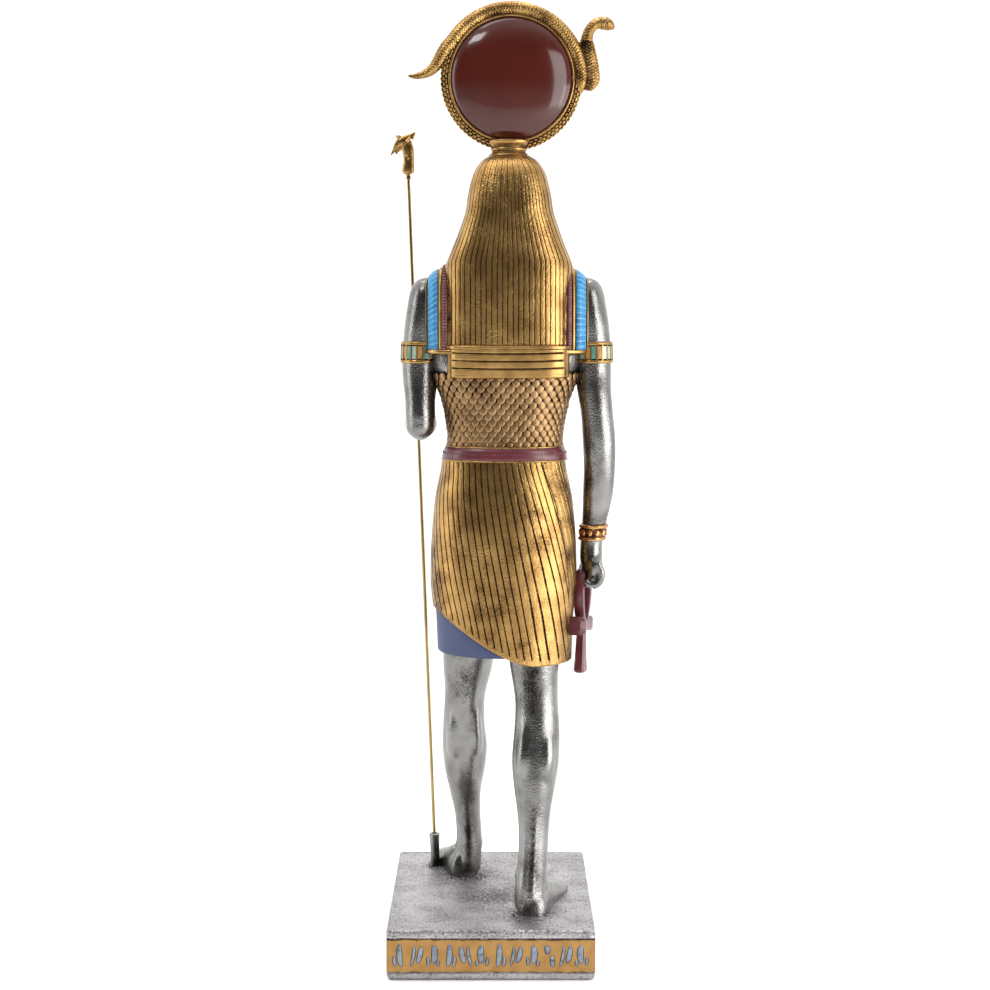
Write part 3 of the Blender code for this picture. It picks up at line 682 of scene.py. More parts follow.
@dataclass(frozen=True)
class Form:
    """Upright form: levels from the top down, as height, centre and half sizes, in parts."""

    levels: tuple
    power: float

    def at(self, z: np.ndarray | float) -> np.ndarray:
        """Centre and half sizes at a height, along the last axis."""
        keys = np.array(self.levels[::-1], float)
        heights = keys[:, 0]
        return between(heights, keys[:, 1:], np.clip(np.asarray(z, float), heights[0], heights[-1]))

    def points(self, share: np.ndarray, z: np.ndarray, grow: np.ndarray | float = 0.0) -> np.ndarray:
        """Points on the form.

        Args:
            share: Place round it, 0 at the back, to half each way at the front.
            z: Height.
            grow: How far the point stands off the form.

        Returns:
            Points in parts.
        """
        share, z, grow = np.broadcast_arrays(share, z, grow)
        middle = self.at(np.array(z.mean()))
        turn = spread(share, middle[2], middle[3], self.power)
        sizes = self.at(z)
        width, depth = sizes[..., 2] + grow, sizes[..., 3] + grow
        reach = (
            np.abs(np.sin(turn) / width) ** self.power + np.abs(np.cos(turn) / depth) ** self.power
        ) ** (-1 / self.power)
        return np.stack([
            sizes[..., 0] + reach * np.sin(turn), sizes[..., 1] + reach * np.cos(turn), z,
        ], -1)

    def grid(self, share: np.ndarray, heights: np.ndarray, grow: np.ndarray | float = 0.0) -> np.ndarray:
        """Grid of points with a level ring at each height."""
        grow = np.broadcast_to(grow, (len(heights), len(share)))
        return np.stack([self.points(share, np.full(share.shape, z), g) for z, g in zip(heights, grow)])

    def outward(self, share: np.ndarray, z: np.ndarray) -> np.ndarray:
        """Directions square to the form."""
        round_ = self.points(share + 0.004, z) - self.points(share - 0.004, z)
        rise = self.points(share, z + 0.4) - self.points(share, z - 0.4)
        return unit(np.cross(rise, round_))


TORSO = Form((
    (181, 0.3, 0.9, 23.8, 13.6), (174, 0.4, 1.0, 23.9, 14.1), (167.6, 0.4, 1.0, 22.1, 14.0),
    (159.9, 0.4, 0.8, 19.3, 13.1), (153.6, 0.4, 0.6, 18.0, 12.6), (147, 0.5, 0.6, 17.4, 12.4),
    (139, 0.5, 0.8, 19.4, 13.8),
), 2.5)
COLLAR = Form((
    (206.5, -0.4, 0.0, 11.0, 8.6), (203.2, -0.3, 0.1, 17.5, 9.8), (200.6, -0.2, 0.2, 22.8, 11.0),
    (198, 0.0, 0.2, 25.3, 11.9), (193, 0.1, 0.2, 26.0, 13.2), (184, 0.2, 0.2, 26.1, 14.1),
    (174.7, 0.3, 0.2, 25.8, 14.3),
), 3.0)
KILT = Form((
    (142.8, 0.8, 0.8, 19.7, 14.4), (139.7, 0.8, 0.8, 20.0, 14.9), (129.9, 0.8, 1.0, 21.9, 17.2),
    (119.6, 0.8, 0.9, 23.0, 18.6), (109.3, 0.8, 0.6, 23.5, 19.3), (101.6, 0.8, 0.4, 23.6, 19.6),
    (92.3, 0.8, 0.2, 22.7, 19.9), (76, 0.8, 0.0, 22.1, 20.2),
), 2.25)
WIG = Form((
    (236.4, -0.8, 1.0, 6.2, 6.0), (235.2, -0.8, 1.6, 8.2, 7.6), (233.3, -0.8, 2.1, 9.9, 9.1),
    (230.8, -0.8, 2.6, 11.3, 10.2), (228.6, -0.8, 2.8, 12.0, 10.7), (223.8, -0.8, 3.1, 13.1, 11.4),
    (219, -0.8, 3.3, 13.8, 12.0), (214.4, -0.8, 3.2, 15.3, 12.5), (209.5, -0.7, 3.0, 17.1, 12.9),
    (204.7, -0.7, 3.1, 19.1, 13.0), (201, -0.6, 3.5, 20.3, 13.0), (198, -0.5, 4.1, 19.9, 12.6),
    (194.7, -0.3, 4.7, 19.5, 12.2), (186, -0.2, 6.0, 19.2, 11.0), (177, -0.2, 6.8, 19.1, 10.2),
), 2.9)
PANEL = Form((
    (177.8, -0.3, 6.7, 19.1, 10.7), (172.6, -0.3, 6.3, 19.1, 10.7), (167.4, -0.3, 5.8, 19.1, 10.7),
), 3.4)
BELT = Form((
    (145.9, 0.6, 0.8, 18.6, 14.1), (143.8, 0.65, 0.8, 19.3, 14.6), (141.2, 0.7, 0.8, 19.9, 15.0),
), 2.3)


# What repeats


def repeat_tree() -> bpy.types.NodeTree:
    """Geometry Nodes tree that sets one shape on each spot of a mesh, a little unevenly.

    Returns:
        The tree, made once and shared by every piece that repeats a shape.
    """
    made = bpy.data.node_groups.get("repeat_shape")
    if made:
        return made
    made = bpy.data.node_groups.new("repeat_shape", "GeometryNodeTree")
    for name, kind in (
        ("Spots", "Geometry"), ("Shape", "Object"), ("Tilt", "Float"), ("Unevenness", "Float"),
        ("Seed", "Int"), ("Finish", "Material"),
    ):
        made.interface.new_socket(name, in_out="INPUT", socket_type=f"NodeSocket{kind}")
    made.interface.new_socket("Pieces", in_out="OUTPUT", socket_type="NodeSocketGeometry")
    wires = Wiring(made)
    given = wires.add("NodeGroupInput")
    shape = wires.add("GeometryNodeObjectInfo", {"As Instance": True, "Object": given["Shape"]})
    outward, sideways = (
        wires.add("GeometryNodeInputNamedAttribute", {"Name": word}, data_type="FLOAT_VECTOR")["Attribute"]
        for word in ("outward", "sideways")
    )
    facing = wires.add(
        "FunctionNodeAxesToRotation", {"Primary Axis": outward, "Secondary Axis": sideways},
        primary_axis="Z", secondary_axis="X")
    back = wires.add("ShaderNodeMath", {0: given["Tilt"], 1: -1.0}, operation="MULTIPLY")
    lean = wires.add(
        "FunctionNodeRandomValue", {0: back[0], 1: given["Tilt"], "Seed": given["Seed"]},
        data_type="FLOAT_VECTOR")
    leaning = wires.add("FunctionNodeEulerToRotation", {0: lean[0]})
    turned = wires.add("FunctionNodeRotateRotation", {0: facing[0], 1: leaning[0]}, rotation_space="LOCAL")
    size = wires.add("GeometryNodeInputNamedAttribute", {"Name": "size"}, data_type="FLOAT")["Attribute"]
    uneven = wires.add(
        "FunctionNodeRandomValue", {"Min": 0.0, "Max": 1.0, "Seed": given["Seed"]}, data_type="FLOAT")
    fewer = wires.add("ShaderNodeMath", {0: uneven["Value"], 1: given["Unevenness"]}, operation="MULTIPLY")
    rest = wires.add("ShaderNodeMath", {0: 1.0, 1: fewer[0]}, operation="SUBTRACT")
    scale = wires.add("ShaderNodeMath", {0: size, 1: rest[0]}, operation="MULTIPLY")
    setting = wires.add("GeometryNodeInstanceOnPoints", {
        "Points": given["Spots"], "Instance": shape["Geometry"], "Rotation": turned[0], "Scale": scale[0],
    })
    real = wires.add("GeometryNodeRealizeInstances", {"Geometry": setting["Instances"]})
    coat = wires.add("GeometryNodeSetMaterial", {"Geometry": real["Geometry"], "Material": given["Finish"]})
    wires.add("NodeGroupOutput", {"Pieces": coat["Geometry"]})
    return made


@dataclass(frozen=True)
class Repeat:
    """One small shape set many times over a form."""

    name: str
    finish: Finish
    tilt: float = 0.03
    unevenness: float = 0.08
    seed: int = 3

    def lay(self, shape: bpy.types.Mesh, spots: np.ndarray, outward: np.ndarray, sideways: np.ndarray,
            size: np.ndarray | float = 1.0) -> None:
        """Sets the shape on every spot.

        Args:
            shape: Mesh round the origin, its z outwards.
            spots: Places in parts.
            outward: Direction of the shape's z at each.
            sideways: Direction of its x at each.
            size: Scale at each.
        """
        carrier = bpy.data.meshes.new(self.name)
        carrier.from_pydata(place(spots).tolist(), [], [])
        for word, values in (("outward", outward), ("sideways", sideways)):
            kept = carrier.attributes.new(word, "FLOAT_VECTOR", "POINT")
            kept.data.foreach_set("vector", np.asarray(values, np.float32).ravel())
        kept = carrier.attributes.new("size", "FLOAT", "POINT")
        kept.data.foreach_set("value", np.broadcast_to(np.float32(size), (len(spots),)).ravel())
        holder = bpy.data.objects.new("holder", carrier)
        pattern = bpy.data.objects.new("pattern", shape)
        for made in (holder, pattern):
            bpy.context.scene.collection.objects.link(made)
        tree = repeat_tree()
        laying = holder.modifiers.new("lay", "NODES")
        laying.node_group = tree
        values = {
            "Shape": pattern, "Tilt": self.tilt, "Unevenness": self.unevenness, "Seed": self.seed,
            "Finish": self.finish.build(),
        }
        for socket in tree.interface.items_tree:
            if socket.in_out == "INPUT" and socket.name in values:
                laying[socket.identifier] = values[socket.name]
        mesh = baked(holder)
        mesh.name = self.name
        for made in (holder, pattern):
            bpy.data.objects.remove(made)
        mesh.shade_smooth()
        piece(self.name, mesh, self.finish)


def small_shape(name: str, rings: list[np.ndarray], cavity: list) -> bpy.types.Mesh:
    """Mesh of a small raised shape.

    Args:
        name: Its name.
        rings: Outlines from the bottom up, in parts round the origin, as points by three.
        cavity: Darkness of each ring, or of each of its points, from the wash in the carving and from painted
            shade.

    Returns:
        Closed mesh in metres round the origin.
    """
    points, faces = join_tubes([np.stack(rings)])
    deep = np.broadcast_to(np.reshape(cavity, (len(rings), -1)), (len(rings), len(rings[0])))
    deep = np.concatenate([deep.ravel(), [deep[0].mean(), deep[-1].mean()]])
    mesh = mesh_of(name, points, faces, deep)
    for vertex in mesh.vertices:
        vertex.co = [value - off for value, off in zip(vertex.co, ORIGIN)]
    return mesh


def stud(across: float, along: float, height: float, power: float = 2.0, count: int = 10) -> bpy.types.Mesh:
    """Low rounded stud or brick, sunk a little below z 0.

    Args:
        across: Half size along x.
        along: Half size along y.
        height: How far it stands up.
        power: How square it is.
        count: Points round it.

    Returns:
        Closed mesh round the origin.
    """
    u, v = rounded(np.linspace(0, FULL_TURN, count, endpoint=False), power)
    rings, depths = [], []
    for share, level, deep in ((1.0, -0.5, 0.9), (1.0, 0.3, 0.5), (0.78, 0.85, 0.05), (0.35, 1.0, 0.0)):
        high = np.full(count, height * level)
        rings.append(np.stack([u * (across * share), v * (along * share), high], -1))
        depths.append(deep)
    return small_shape("stud", rings, depths)


# Plinth and sceptre


def oblong(width: float, depth: float, corner: float, count: int) -> np.ndarray:
    """Outline of a rectangle with round corners.

    Args:
        width: Size along x.
        depth: Size along y.
        corner: Radius of its corners.
        count: Points in it.

    Returns:
        Points by two.
    """
    steps = 64
    turn = np.linspace(0, FULL_TURN, steps, endpoint=False) + FULL_TURN / (2 * steps)
    centre_x = np.sign(np.cos(turn)) * (width / 2 - corner)
    centre_y = np.sign(np.sin(turn)) * (depth / 2 - corner)
    corners = np.stack([centre_x + corner * np.cos(turn), centre_y + corner * np.sin(turn)], -1)
    loop = np.concatenate([corners, corners[:1]])
    run = np.concatenate([[0.0], np.cumsum(np.hypot(*np.diff(loop, axis=0).T))])
    at = np.linspace(0, run[-1], count, endpoint=False)
    return np.stack([np.interp(at, run, loop[:, k]) for k in (0, 1)], -1)


def ripple(points: np.ndarray, size: float, seed: int) -> np.ndarray:
    """Even roughness, about -1 to 1, from a sum of waves.

    Args:
        points: Places, along the last axis.
        size: Length of a middling wave.
        seed: Start of the random draws.

    Returns:
        One number for each point.
    """
    dice = np.random.default_rng(seed)
    total = np.zeros(points.shape[:-1])
    for _ in range(WAVES):
        wave = dice.normal(size=3)
        wave *= FULL_TURN / size * dice.uniform(0.5, 1.6) / np.linalg.norm(wave)
        total += np.sin(points @ wave + dice.uniform(0, FULL_TURN))
    return total / WAVE_SCALE


@dataclass(frozen=True)
class Plinth:
    """Oblong plinth: stippled top, polished strip, amber band between dark lines, stippled foot."""

    width: float = BASE_WIDTH / PART
    depth: float = BASE_DEPTH / PART
    height: float = BASE_HEIGHT / PART
    corner: float = 1.3
    stipple: float = 0.11
    band_low: float = 2.7
    band_high: float = 13.0
    line: float = 0.35
    line_depth: float = 0.25
    mark_height: float = 0.16
    edge_height: float = 0.05
    edge_reach: float = 0.26
    sunk: float = 0.06
    heels: tuple = ((12.8, -14.5, 8.5), (-7.4, 23.5, 9.0), (24.0, -24.8, 4.0), (17, -24, 8), (4, 8, 9))
    cluster_pitch: float = 5.3
    clusters: tuple = (
        ((-0.3, 0.2, 3.6, 4, 0.35, 0.8), (1.4, -1.6, 1.7, 6, 0.2, 0.4)),
        ((-0.7, 1.9, 1.5, -8, 0.2, 0.75), (0.8, -1.7, 1.9, -6, 0.25, 0.65)),
        ((-1.1, 0.0, 3.2, 10, 0.3, 0.45), (0.9, 0.4, 2.7, 12, 0.3, 0.75)),
        ((-0.4, 2.7, 1.0, -24, 0.1, 0.55), (0.3, -1.0, 2.5, -4, 0.3, 0.8)),
        ((-1.5, -0.4, 2.7, -14, 0.3, 0.5), (0.0, 0.2, 3.1, -12, 0.3, 0.4), (1.5, 0.6, 2.4, -10, 0.2, 0.55)),
        ((0.1, 0.5, 2.9, 2, 0.5, 0.95), (-1.5, -1.7, 1.5, -6, 0.1, 0.4), (1.6, -2.3, 1.0, 12, 0.1, 0.35)),
    )

    def body(self) -> None:
        """Casts the plinth with its rough top."""
        profile = [(1.6, -self.height), (0.5, -self.height + 0.35), (0.08, -self.height + 1.2)]
        low, high = self.band_low - self.height, self.band_high - self.height
        profile += [(0.0, low - self.line * 1.4), (self.line_depth, low - self.line)]
        profile += [(self.line_depth, high + self.line)]
        profile += [(0.0, high + self.line * 1.4), (0.0, -0.9), (0.12, -0.35), (0.45, -0.06), (1.0, 0.0)]
        profile += [(inset, 0.0) for inset in np.linspace(1.6, self.width / 2 - 0.3, 46)]
        rings, deep = [], []
        for inset, z in profile:
            corner = max(self.corner, self.corner + 2 - inset * 0.1) if inset > 1.5 else self.corner
            width, depth = self.width - 2 * inset, self.depth - 2 * inset
            outline = oblong(width, depth, min(corner, width / 2.01, depth / 2.01), 420)
            ring = np.column_stack([outline, np.full(len(outline), z)])
            rings.append(ring)
            deep.append(np.full(len(outline), float(inset == self.line_depth)))
        grid, cavity = np.stack(rings), np.stack(deep)
        grid[..., 0] -= FIGURE_X / PART
        flat = grid[..., 2] > -0.01
        rough = ripple(grid, 1.6, 5)
        foot = (grid[..., 2] < low) & (grid[..., 2] > -self.height + 0.2)
        grid[..., 2] += np.where(flat, np.minimum(rough * self.stipple - 0.08, 0.0), 0)
        shade = np.zeros(flat.shape)
        for x, y, reach in self.heels:
            away = np.hypot(grid[..., 0] - x, grid[..., 1] - y)
            shade = np.maximum(shade, 0.7 * np.exp(-((away / reach) ** 2)))
        cavity = np.where(flat, np.clip(shade + 0.2 - rough * 0.2, 0, 1), cavity)
        cavity = np.where(foot, np.clip(0.1 - rough * 0.3, 0, 1), cavity)
        cavity = np.where(~flat & (grid[..., 2] > high + 0.6), 0.42, cavity)
        tube_piece("plinth", grid, PLINTH_PEWTER, cavity, sharp=50)

    def walls(self) -> list[tuple[np.ndarray, np.ndarray, float]]:
        """Middle of each side's foot, its direction to the right as seen from outside, and its length."""
        x0 = -FIGURE_X / PART
        return [
            (np.array([x0, self.depth / 2, -self.height]), np.array([-1.0, 0, 0]), self.width),
            (np.array([x0, -self.depth / 2, -self.height]), np.array([1.0, 0, 0]), self.width),
            (np.array([x0 + self.width / 2, 0, -self.height]), np.array([0, 1.0, 0]), self.depth),
            (np.array([x0 - self.width / 2, 0, -self.height]), np.array([0, -1.0, 0]), self.depth),
        ]

    def bands(self) -> None:
        """Lays the amber band in its sunk field on each side."""
        grids, deep = [], []
        for middle, right, length in self.walls():
            out = np.cross(right, UP)
            half = length / 2 - 0.35
            rows = np.linspace(self.band_low, self.band_high, 20)
            columns = np.linspace(-half, half, round(length))
            u, v = np.meshgrid(columns, rows)
            wave = 0.1 * np.sin(u * 0.9 + v) + 0.06 * np.sin(u * 2.3)
            face = middle + u[..., None] * right + (v + wave)[..., None] * UP - out * self.sunk
            back = face - out * 0.5
            grid = np.concatenate([face, back[:, ::-1]], axis=1)
            edge = np.minimum(v - self.band_low, self.band_high - v)
            dark = np.clip(1 - edge / 0.45, 0, 1) * 0.9 + 0.12 * ripple(face, 2.2, 8)
            grids.append(grid)
            deep.append(np.concatenate([dark, dark[:, ::-1]], axis=1))
        points, faces = join_tubes(grids)
        cavity = np.concatenate([np.concatenate([d.ravel(), [0.0, 0.0]]) for d in deep])
        piece("amber_bands", mesh_of("amber_bands", points, faces, cavity, 60), AMBER)

    def marks(self) -> None:
        """Sets rows of raised strokes, which spell nothing, along every side."""
        dice = np.random.default_rng(11)
        strokes, edges = [], []
        sweep = np.linspace(-1, 1, 9)
        for middle, right, length in self.walls():
            out = np.cross(right, UP)
            count = round((length - 3) / self.cluster_pitch)
            for k in range(count):
                spot = ((k + 0.5) / count - 0.5) * (length - 3)
                flip = dice.choice((-1, 1))
                cluster = self.clusters[(2 * k + dice.integers(0, 2)) % len(self.clusters)]
                for x, y, half, lean, bow, width in cluster:
                    turn = math.radians(lean)
                    bend, run = bow * (1 - sweep**2), sweep * half
                    across = flip * (x + bend * math.cos(turn) + run * math.sin(turn)) + spot
                    high = y - bend * math.sin(turn) + run * math.cos(turn)
                    high = high + (self.band_low + self.band_high) / 2
                    path = middle + across[:, None] * right + high[:, None] * UP - out * self.sunk
                    strokes.append(self._stroke(path, out, width, self.mark_height))
                    edges.append(self._stroke(path, out, width + self.edge_reach, self.edge_height))
        for name, grids, finish in (("marks", strokes, MARK_BLUE), ("mark_edges", edges, DARK_LINE)):
            points, faces = join_tubes(grids)
            cavity = np.clip(0.35 + 0.4 * ripple(points, 1.3, 6), 0, 1)
            piece(name, mesh_of(name, points, faces, cavity), finish)

    @staticmethod
    def _stroke(path: np.ndarray, out: np.ndarray, width: float, height: float) -> np.ndarray:
        """Low rounded ridge along a line, tapering at both ends.

        Args:
            path: The line's points.
            out: Direction away from the plinth's side.
            width: Half width at its middle.
            height: How far it stands out.

        Returns:
            Points as rows by columns by three.
        """
        share = np.linspace(0, 1, len(path))
        taper = 0.35 + 0.65 * np.sqrt(np.clip(np.sin(np.pi * share), 0, 1))
        along = unit(np.gradient(path, axis=0))
        across = np.cross(along, out)
        ring = [(-1.0, -0.6), (-0.85, 0.6), (-0.3, 1.0), (0.3, 1.0), (0.85, 0.6), (1.0, -0.6)]
        sides = []
        for u, v in ring:
            lift = v * height * np.where(v > 0, taper, 1.0)
            sides.append(path + across * (u * width * taper)[:, None] + out * lift[:, None])
        return np.stack(sides, axis=1)

    def beads(self) -> None:
        """Scatters the small shiny beads that the casting has round the heels and the socket."""
        dice = np.random.default_rng(21)
        spots, size = [], []
        for x, y, reach, count in ((12.8, -12.5, 5.4, 16), (-7.3, 27.6, 5.6, 18), (23.6, -22.6, 2.4, 12)):
            turn = dice.uniform(-0.5, math.pi + 0.5, count)
            away = reach * dice.uniform(0.8, 1.15, count)
            spots += [(x + r * math.cos(t), y + r * math.sin(t) * 0.7, 0.0) for t, r in zip(turn, away)]
            size += list(dice.uniform(0.4, 1.0, count))
        count = len(spots)
        up, side = np.tile(UP, (count, 1)), np.tile((1.0, 0, 0), (count, 1))
        lay = Repeat("plinth_beads", PEWTER, 0.2, 0.3, 4)
        lay.lay(stud(0.42, 0.42, 0.4), np.array(spots), up, side, np.array(size))

    def build(self) -> None:
        """Makes the plinth."""
        self.body()
        self.bands()
        self.marks()
        self.beads()


@dataclass(frozen=True)
class Sceptre:
    """Brass rod that stands in a socket and goes through the left fist, with its was head."""

    foot: tuple = (24.0, -24.8, 0.0)
    fist: tuple = (29.5, -28.0, 153.8)
    radius: float = 0.55
    length: float = 232.5
    lift: float = 1.1
    head_height: float = 15.0
    head_bore: float = 2.6

    @property
    def line(self) -> tuple[np.ndarray, np.ndarray]:
        """Where the rod leaves the plinth, and its direction."""
        start = np.array(self.foot)
        return start, unit(np.array(self.fist) - start)

    def rod(self) -> None:
        """Turns the rod."""
        start, along = self.line
        low = start + along * self.lift
        path = [low + along * (self.length * s) for s in np.linspace(0, 1, 60)]
        stations = [(*spot, self.radius, self.radius) for spot in path]
        grid = limb(stations, 240, 20)
        tube_piece("sceptre_rod", grid, BRASS, sharp=50, node=Node.ROD)

    def socket(self) -> None:
        """Casts the split, tapering socket post."""
        start, along = self.line
        levels = ((-0.7, 2.6), (0.3, 2.3), (1.4, 1.7), (3.0, 1.45), (6, 1.55), (9, 1.75), (10.9, 1.85),
                  (11.1, 1.6), (11.1, 0.9), (10.4, 0.86))
        turn = np.linspace(0, FULL_TURN, 28, endpoint=False)
        across = unit(np.cross(BACKWARDS, along))
        other = np.cross(along, across)
        flute = 1 - 0.1 * np.clip(np.cos(3 * turn + 0.6), 0, 1) ** 2
        rings, deep = [], []
        for up, half in levels:
            aside = np.outer(np.cos(turn) * half * flute, across)
            aside = aside + np.outer(np.sin(turn) * half * flute, other)
            rings.append(start + along * up + aside)
            deep.append((0.75 if len(deep) < 3 else 0.2) + 0.3 * (1 - flute) * 10 * 0.5)
        tube_piece("sceptre_socket", np.stack(rings), PEWTER, np.clip(np.stack(deep), 0, 1), sharp=45)

    def head(self) -> None:
        """Casts the was head: bent neck, long snout, brow and upright ears."""
        start, along = self.line
        left = unit(np.array([1.0, 0, 0]) - along * along[0])
        foot = start + along * (self.lift + self.length - self.head_bore + 0.3)
        deep = np.cross(along, left)

        def spot(aside: float, up: float, forth: float = 0.0) -> np.ndarray:
            """Point beside, above and in front of the head's foot."""
            return foot + left * aside + along * up + deep * forth

        neck = [(0, 0, 0.75), (0.6, 0, 0.8), (1.5, 0.05, 0.75), (2.2, 0.05, 1.8), (3.0, 0.0, 2.0),
                (5.4, -0.3, 1.8), (7.6, -0.35, 1.8), (9.6, -0.2, 1.95), (11.4, -0.1, 1.8), (12.8, -0.4, 1.2)]
        neck = limb([(*spot(a, u), r, r * 0.8) for u, a, r in neck], 60, 24, 2.4)
        snout = [(-2.75, 15.3, 0.2), (-1.5, 14.4, 0.65), (0.1, 13.3, 1.3), (1.9, 12.2, 1.7),
                 (3.1, 11.2, 1.35), (3.9, 10.2, 0.95), (4.7, 9.2, 0.5), (5.6, 8.1, 0.2)]
        snout = limb([(*spot(a, u), r * 0.95, r) for a, u, r in snout], 60, 22, 2.4, side=tuple(deep))
        ears = [
            limb([(*spot(-1.4, 13.2, f), 0.75, 0.4), (*spot(-2.1, 14.4, f * 1.2), 0.6, 0.32),
                  (*spot(-2.9, 15.2, f * 1.3), 0.15, 0.12)], 16, 12)
            for f in (-0.8, 0.8)
        ]
        brow = limb([(*spot(2.2, 14.0, -1.2), 0.45, 0.4), (*spot(3.1, 14.1, 0), 0.7, 0.5),
                     (*spot(2.2, 14.0, 1.2), 0.45, 0.4)], 14, 12)
        jaw = limb([(*spot(1.6, 11.0), 1.1, 0.9), (*spot(2.8, 10.0), 0.75, 0.6),
                    (*spot(3.9, 8.3), 0.22, 0.22)], 16, 12)
        crest = limb([(*spot(-2.2, 14.6, 0.4), 0.3, 0.3), (*spot(0.1, 12.2, 1.2), 0.42, 0.42),
                      (*spot(1.9, 9.9, 0.9), 0.3, 0.3)], 20, 12)
        beads = [
            blob(tuple(spot(a, u, 1.35)), (0.34, 0.3, 0.34), columns=12)
            for a, u in ((0.15, 7.8), (-0.25, 6.7))
        ]
        Flesh("sceptre_head", voxel=0.14, rounds=3, reach=10, strength=1.3).cast(
            [neck, snout, *ears, brow, jaw, crest, *beads], BRIGHT_GOLD, Node.HEAD, floor=None)

    def build(self) -> None:
        """Makes the sceptre and its socket."""
        self.rod()
        self.socket()
        self.head()


# Legs, arms and head


@dataclass(frozen=True)
class Leg:
    """Bare leg and foot."""

    side: Side
    stations: tuple
    heel: tuple
    splay: float
    length: float
    stains: tuple

    def muscles(self) -> list[np.ndarray]:
        """Calf heads, tendons, knee and ankle bones that the skin runs over."""
        keys = np.array(self.stations)
        order = np.argsort(keys[:, 2])

        def at(z: float) -> np.ndarray:
            """Centre and half sizes of the leg at a height."""
            return np.array([np.interp(z, keys[order, 2], keys[order, k]) for k in (0, 1, 3, 4)])

        s = self.side.value
        made = []

        def along(path: tuple) -> np.ndarray:
            """Cord that follows the leg: height, shares of its half sizes aside and back, half size."""
            stations = []
            for z, aside, back, half in path:
                x, y, w, d = at(z)
                stations.append((x + aside * w, y + back * d, z, half, half))
            return limb(stations, 40, 18)

        calf = ((67, 0.36, 1.2), (60, 0.5, 2.2), (53, 0.6, 3.0), (46, 0.6, 3.0), (40, 0.5, 1.8),
                (34, 0.4, 1.1))
        for aside, drop in ((-s * 0.42, 0), (s * 0.38, -1.5)):
            made.append(along(tuple((z + drop, aside, back, half) for z, back, half in calf)))
        made.append(along(((48, 0, 0.3, 1.5), (36, 0, 0.66, 1.7), (26, 0, 0.8, 1.55), (17, 0, 0.87, 1.4),
                           (11, 0, 0.85, 1.6), (6, 0, 0.76, 2.1), (2, 0, 0.72, 2.4))))
        x, y, w, d = at(73)
        made.append(blob((x, y - d * 0.68, 73), (4.2, 3.0, 5.0)))
        x, y, w, d = at(10)
        made.append(blob((x - s * w * 0.78, y - 0.6, 10.6), (1.5, 2.0, 2.8), columns=18))
        made.append(blob((x + s * w * 0.78, y + 0.2, 8.8), (1.4, 2.0, 2.8), columns=18))
        return made

    def foot(self) -> list[np.ndarray]:
        """Sole, instep and toes."""
        run = np.array([math.sin(self.splay), -math.cos(self.splay), 0])
        across = np.array([math.cos(self.splay), math.sin(self.splay), 0])
        inner = -self.side.value
        outline = [(0.0, 0, 2.6, 4.0), (0.05, 0, 4.2, 7.0), (0.15, 0, 4.8, 9.0), (0.34, 0, 4.7, 9.0),
                   (0.52, 0, 5.1, 6.8), (0.70, 0.1, 5.9, 4.9), (0.82, 0.1, 5.9, 3.5), (0.88, 0.1, 4.5, 2.2)]
        keys = flow([(share, 0, 0, aside, half, height) for share, aside, half, height in outline], 34)
        turn = np.linspace(0, FULL_TURN, 36, endpoint=False)
        heel = np.array([*self.heel, 0.0])
        rings = []
        for share, _, _, aside, half, height in keys:
            lift = np.maximum(np.sin(turn), -0.25) * height
            ring = heel + run * share * self.length + np.outer(np.cos(turn) * half + aside * inner, across)
            ring[:, 2] += lift
            rings.append(ring)
        toes = []
        for k, (aside, start, end, half) in enumerate((
            (3.9, 0.76, 0.985, 2.1), (1.25, 0.78, 1.0, 1.45), (-0.95, 0.78, 0.97, 1.35),
            (-2.9, 0.76, 0.93, 1.25), (-4.6, 0.73, 0.88, 1.2),
        )):
            path = []
            for share, high, wide in ((0, 1.5, 0.9), (0.45, 1.45, 1.0), (0.8, 0.95, 1.06), (1.0, 0.7, 0.55)):
                spot = heel + run * (start + (end - start) * share) * self.length + across * aside * inner
                high = high * (1.1 if k == 0 else 0.8)
                path.append((spot[0], spot[1], high, half * wide, half * wide * 0.95))
            toes.append(limb(path, 16, 16, side=tuple(across)))
        return [np.stack(rings), *toes]

    def build(self) -> None:
        """Casts the leg."""
        skin = limb(list(self.stations), 90, 48)
        Flesh(f"{self.side.word}_leg", rounds=24, reach=20, strength=1.0).cast(
            [skin, *self.muscles(), *self.foot()], PEWTER, stains=self.stains)


# The last tuple of each leg is painted shade: behind the knee, down the heel cord and round the heel.
LEFT_LEG = Leg(Side.LEFT, (
    (11.2, -4.4, 91, 7.4, 6.8), (12.0, -6.3, 82, 8.4, 7.6), (12.6, -9.4, 73.7, 8.2, 8.5),
    (13.6, -10.4, 62.5, 6.7, 7.4), (14.0, -11.0, 52.6, 6.9, 7.0), (13.7, -11.9, 44.2, 7.4, 7.4),
    (13.7, -13.0, 35.8, 6.5, 6.7), (13.6, -13.8, 30.2, 5.4, 5.6), (12.9, -15.2, 21.7, 4.35, 4.5),
    (12.4, -16.4, 13.2, 4.3, 4.2), (12.7, -17.2, 5.0, 4.4, 5.0), (12.8, -17.4, 1.0, 4.3, 5.0),
), (13.4, -12.3), math.radians(17), 28, (
    (13.0, -1.5, 68, 4.5, 9, 0.75), (12.8, -11.0, 17, 2.1, 17, 0.85), (12.8, -11.5, 3, 4.0, 3.5, 0.8),
    (18.5, -18, 3, 5.0, 6, 0.7), (9.0, -3.0, 80, 3.0, 8, 0.4),
))
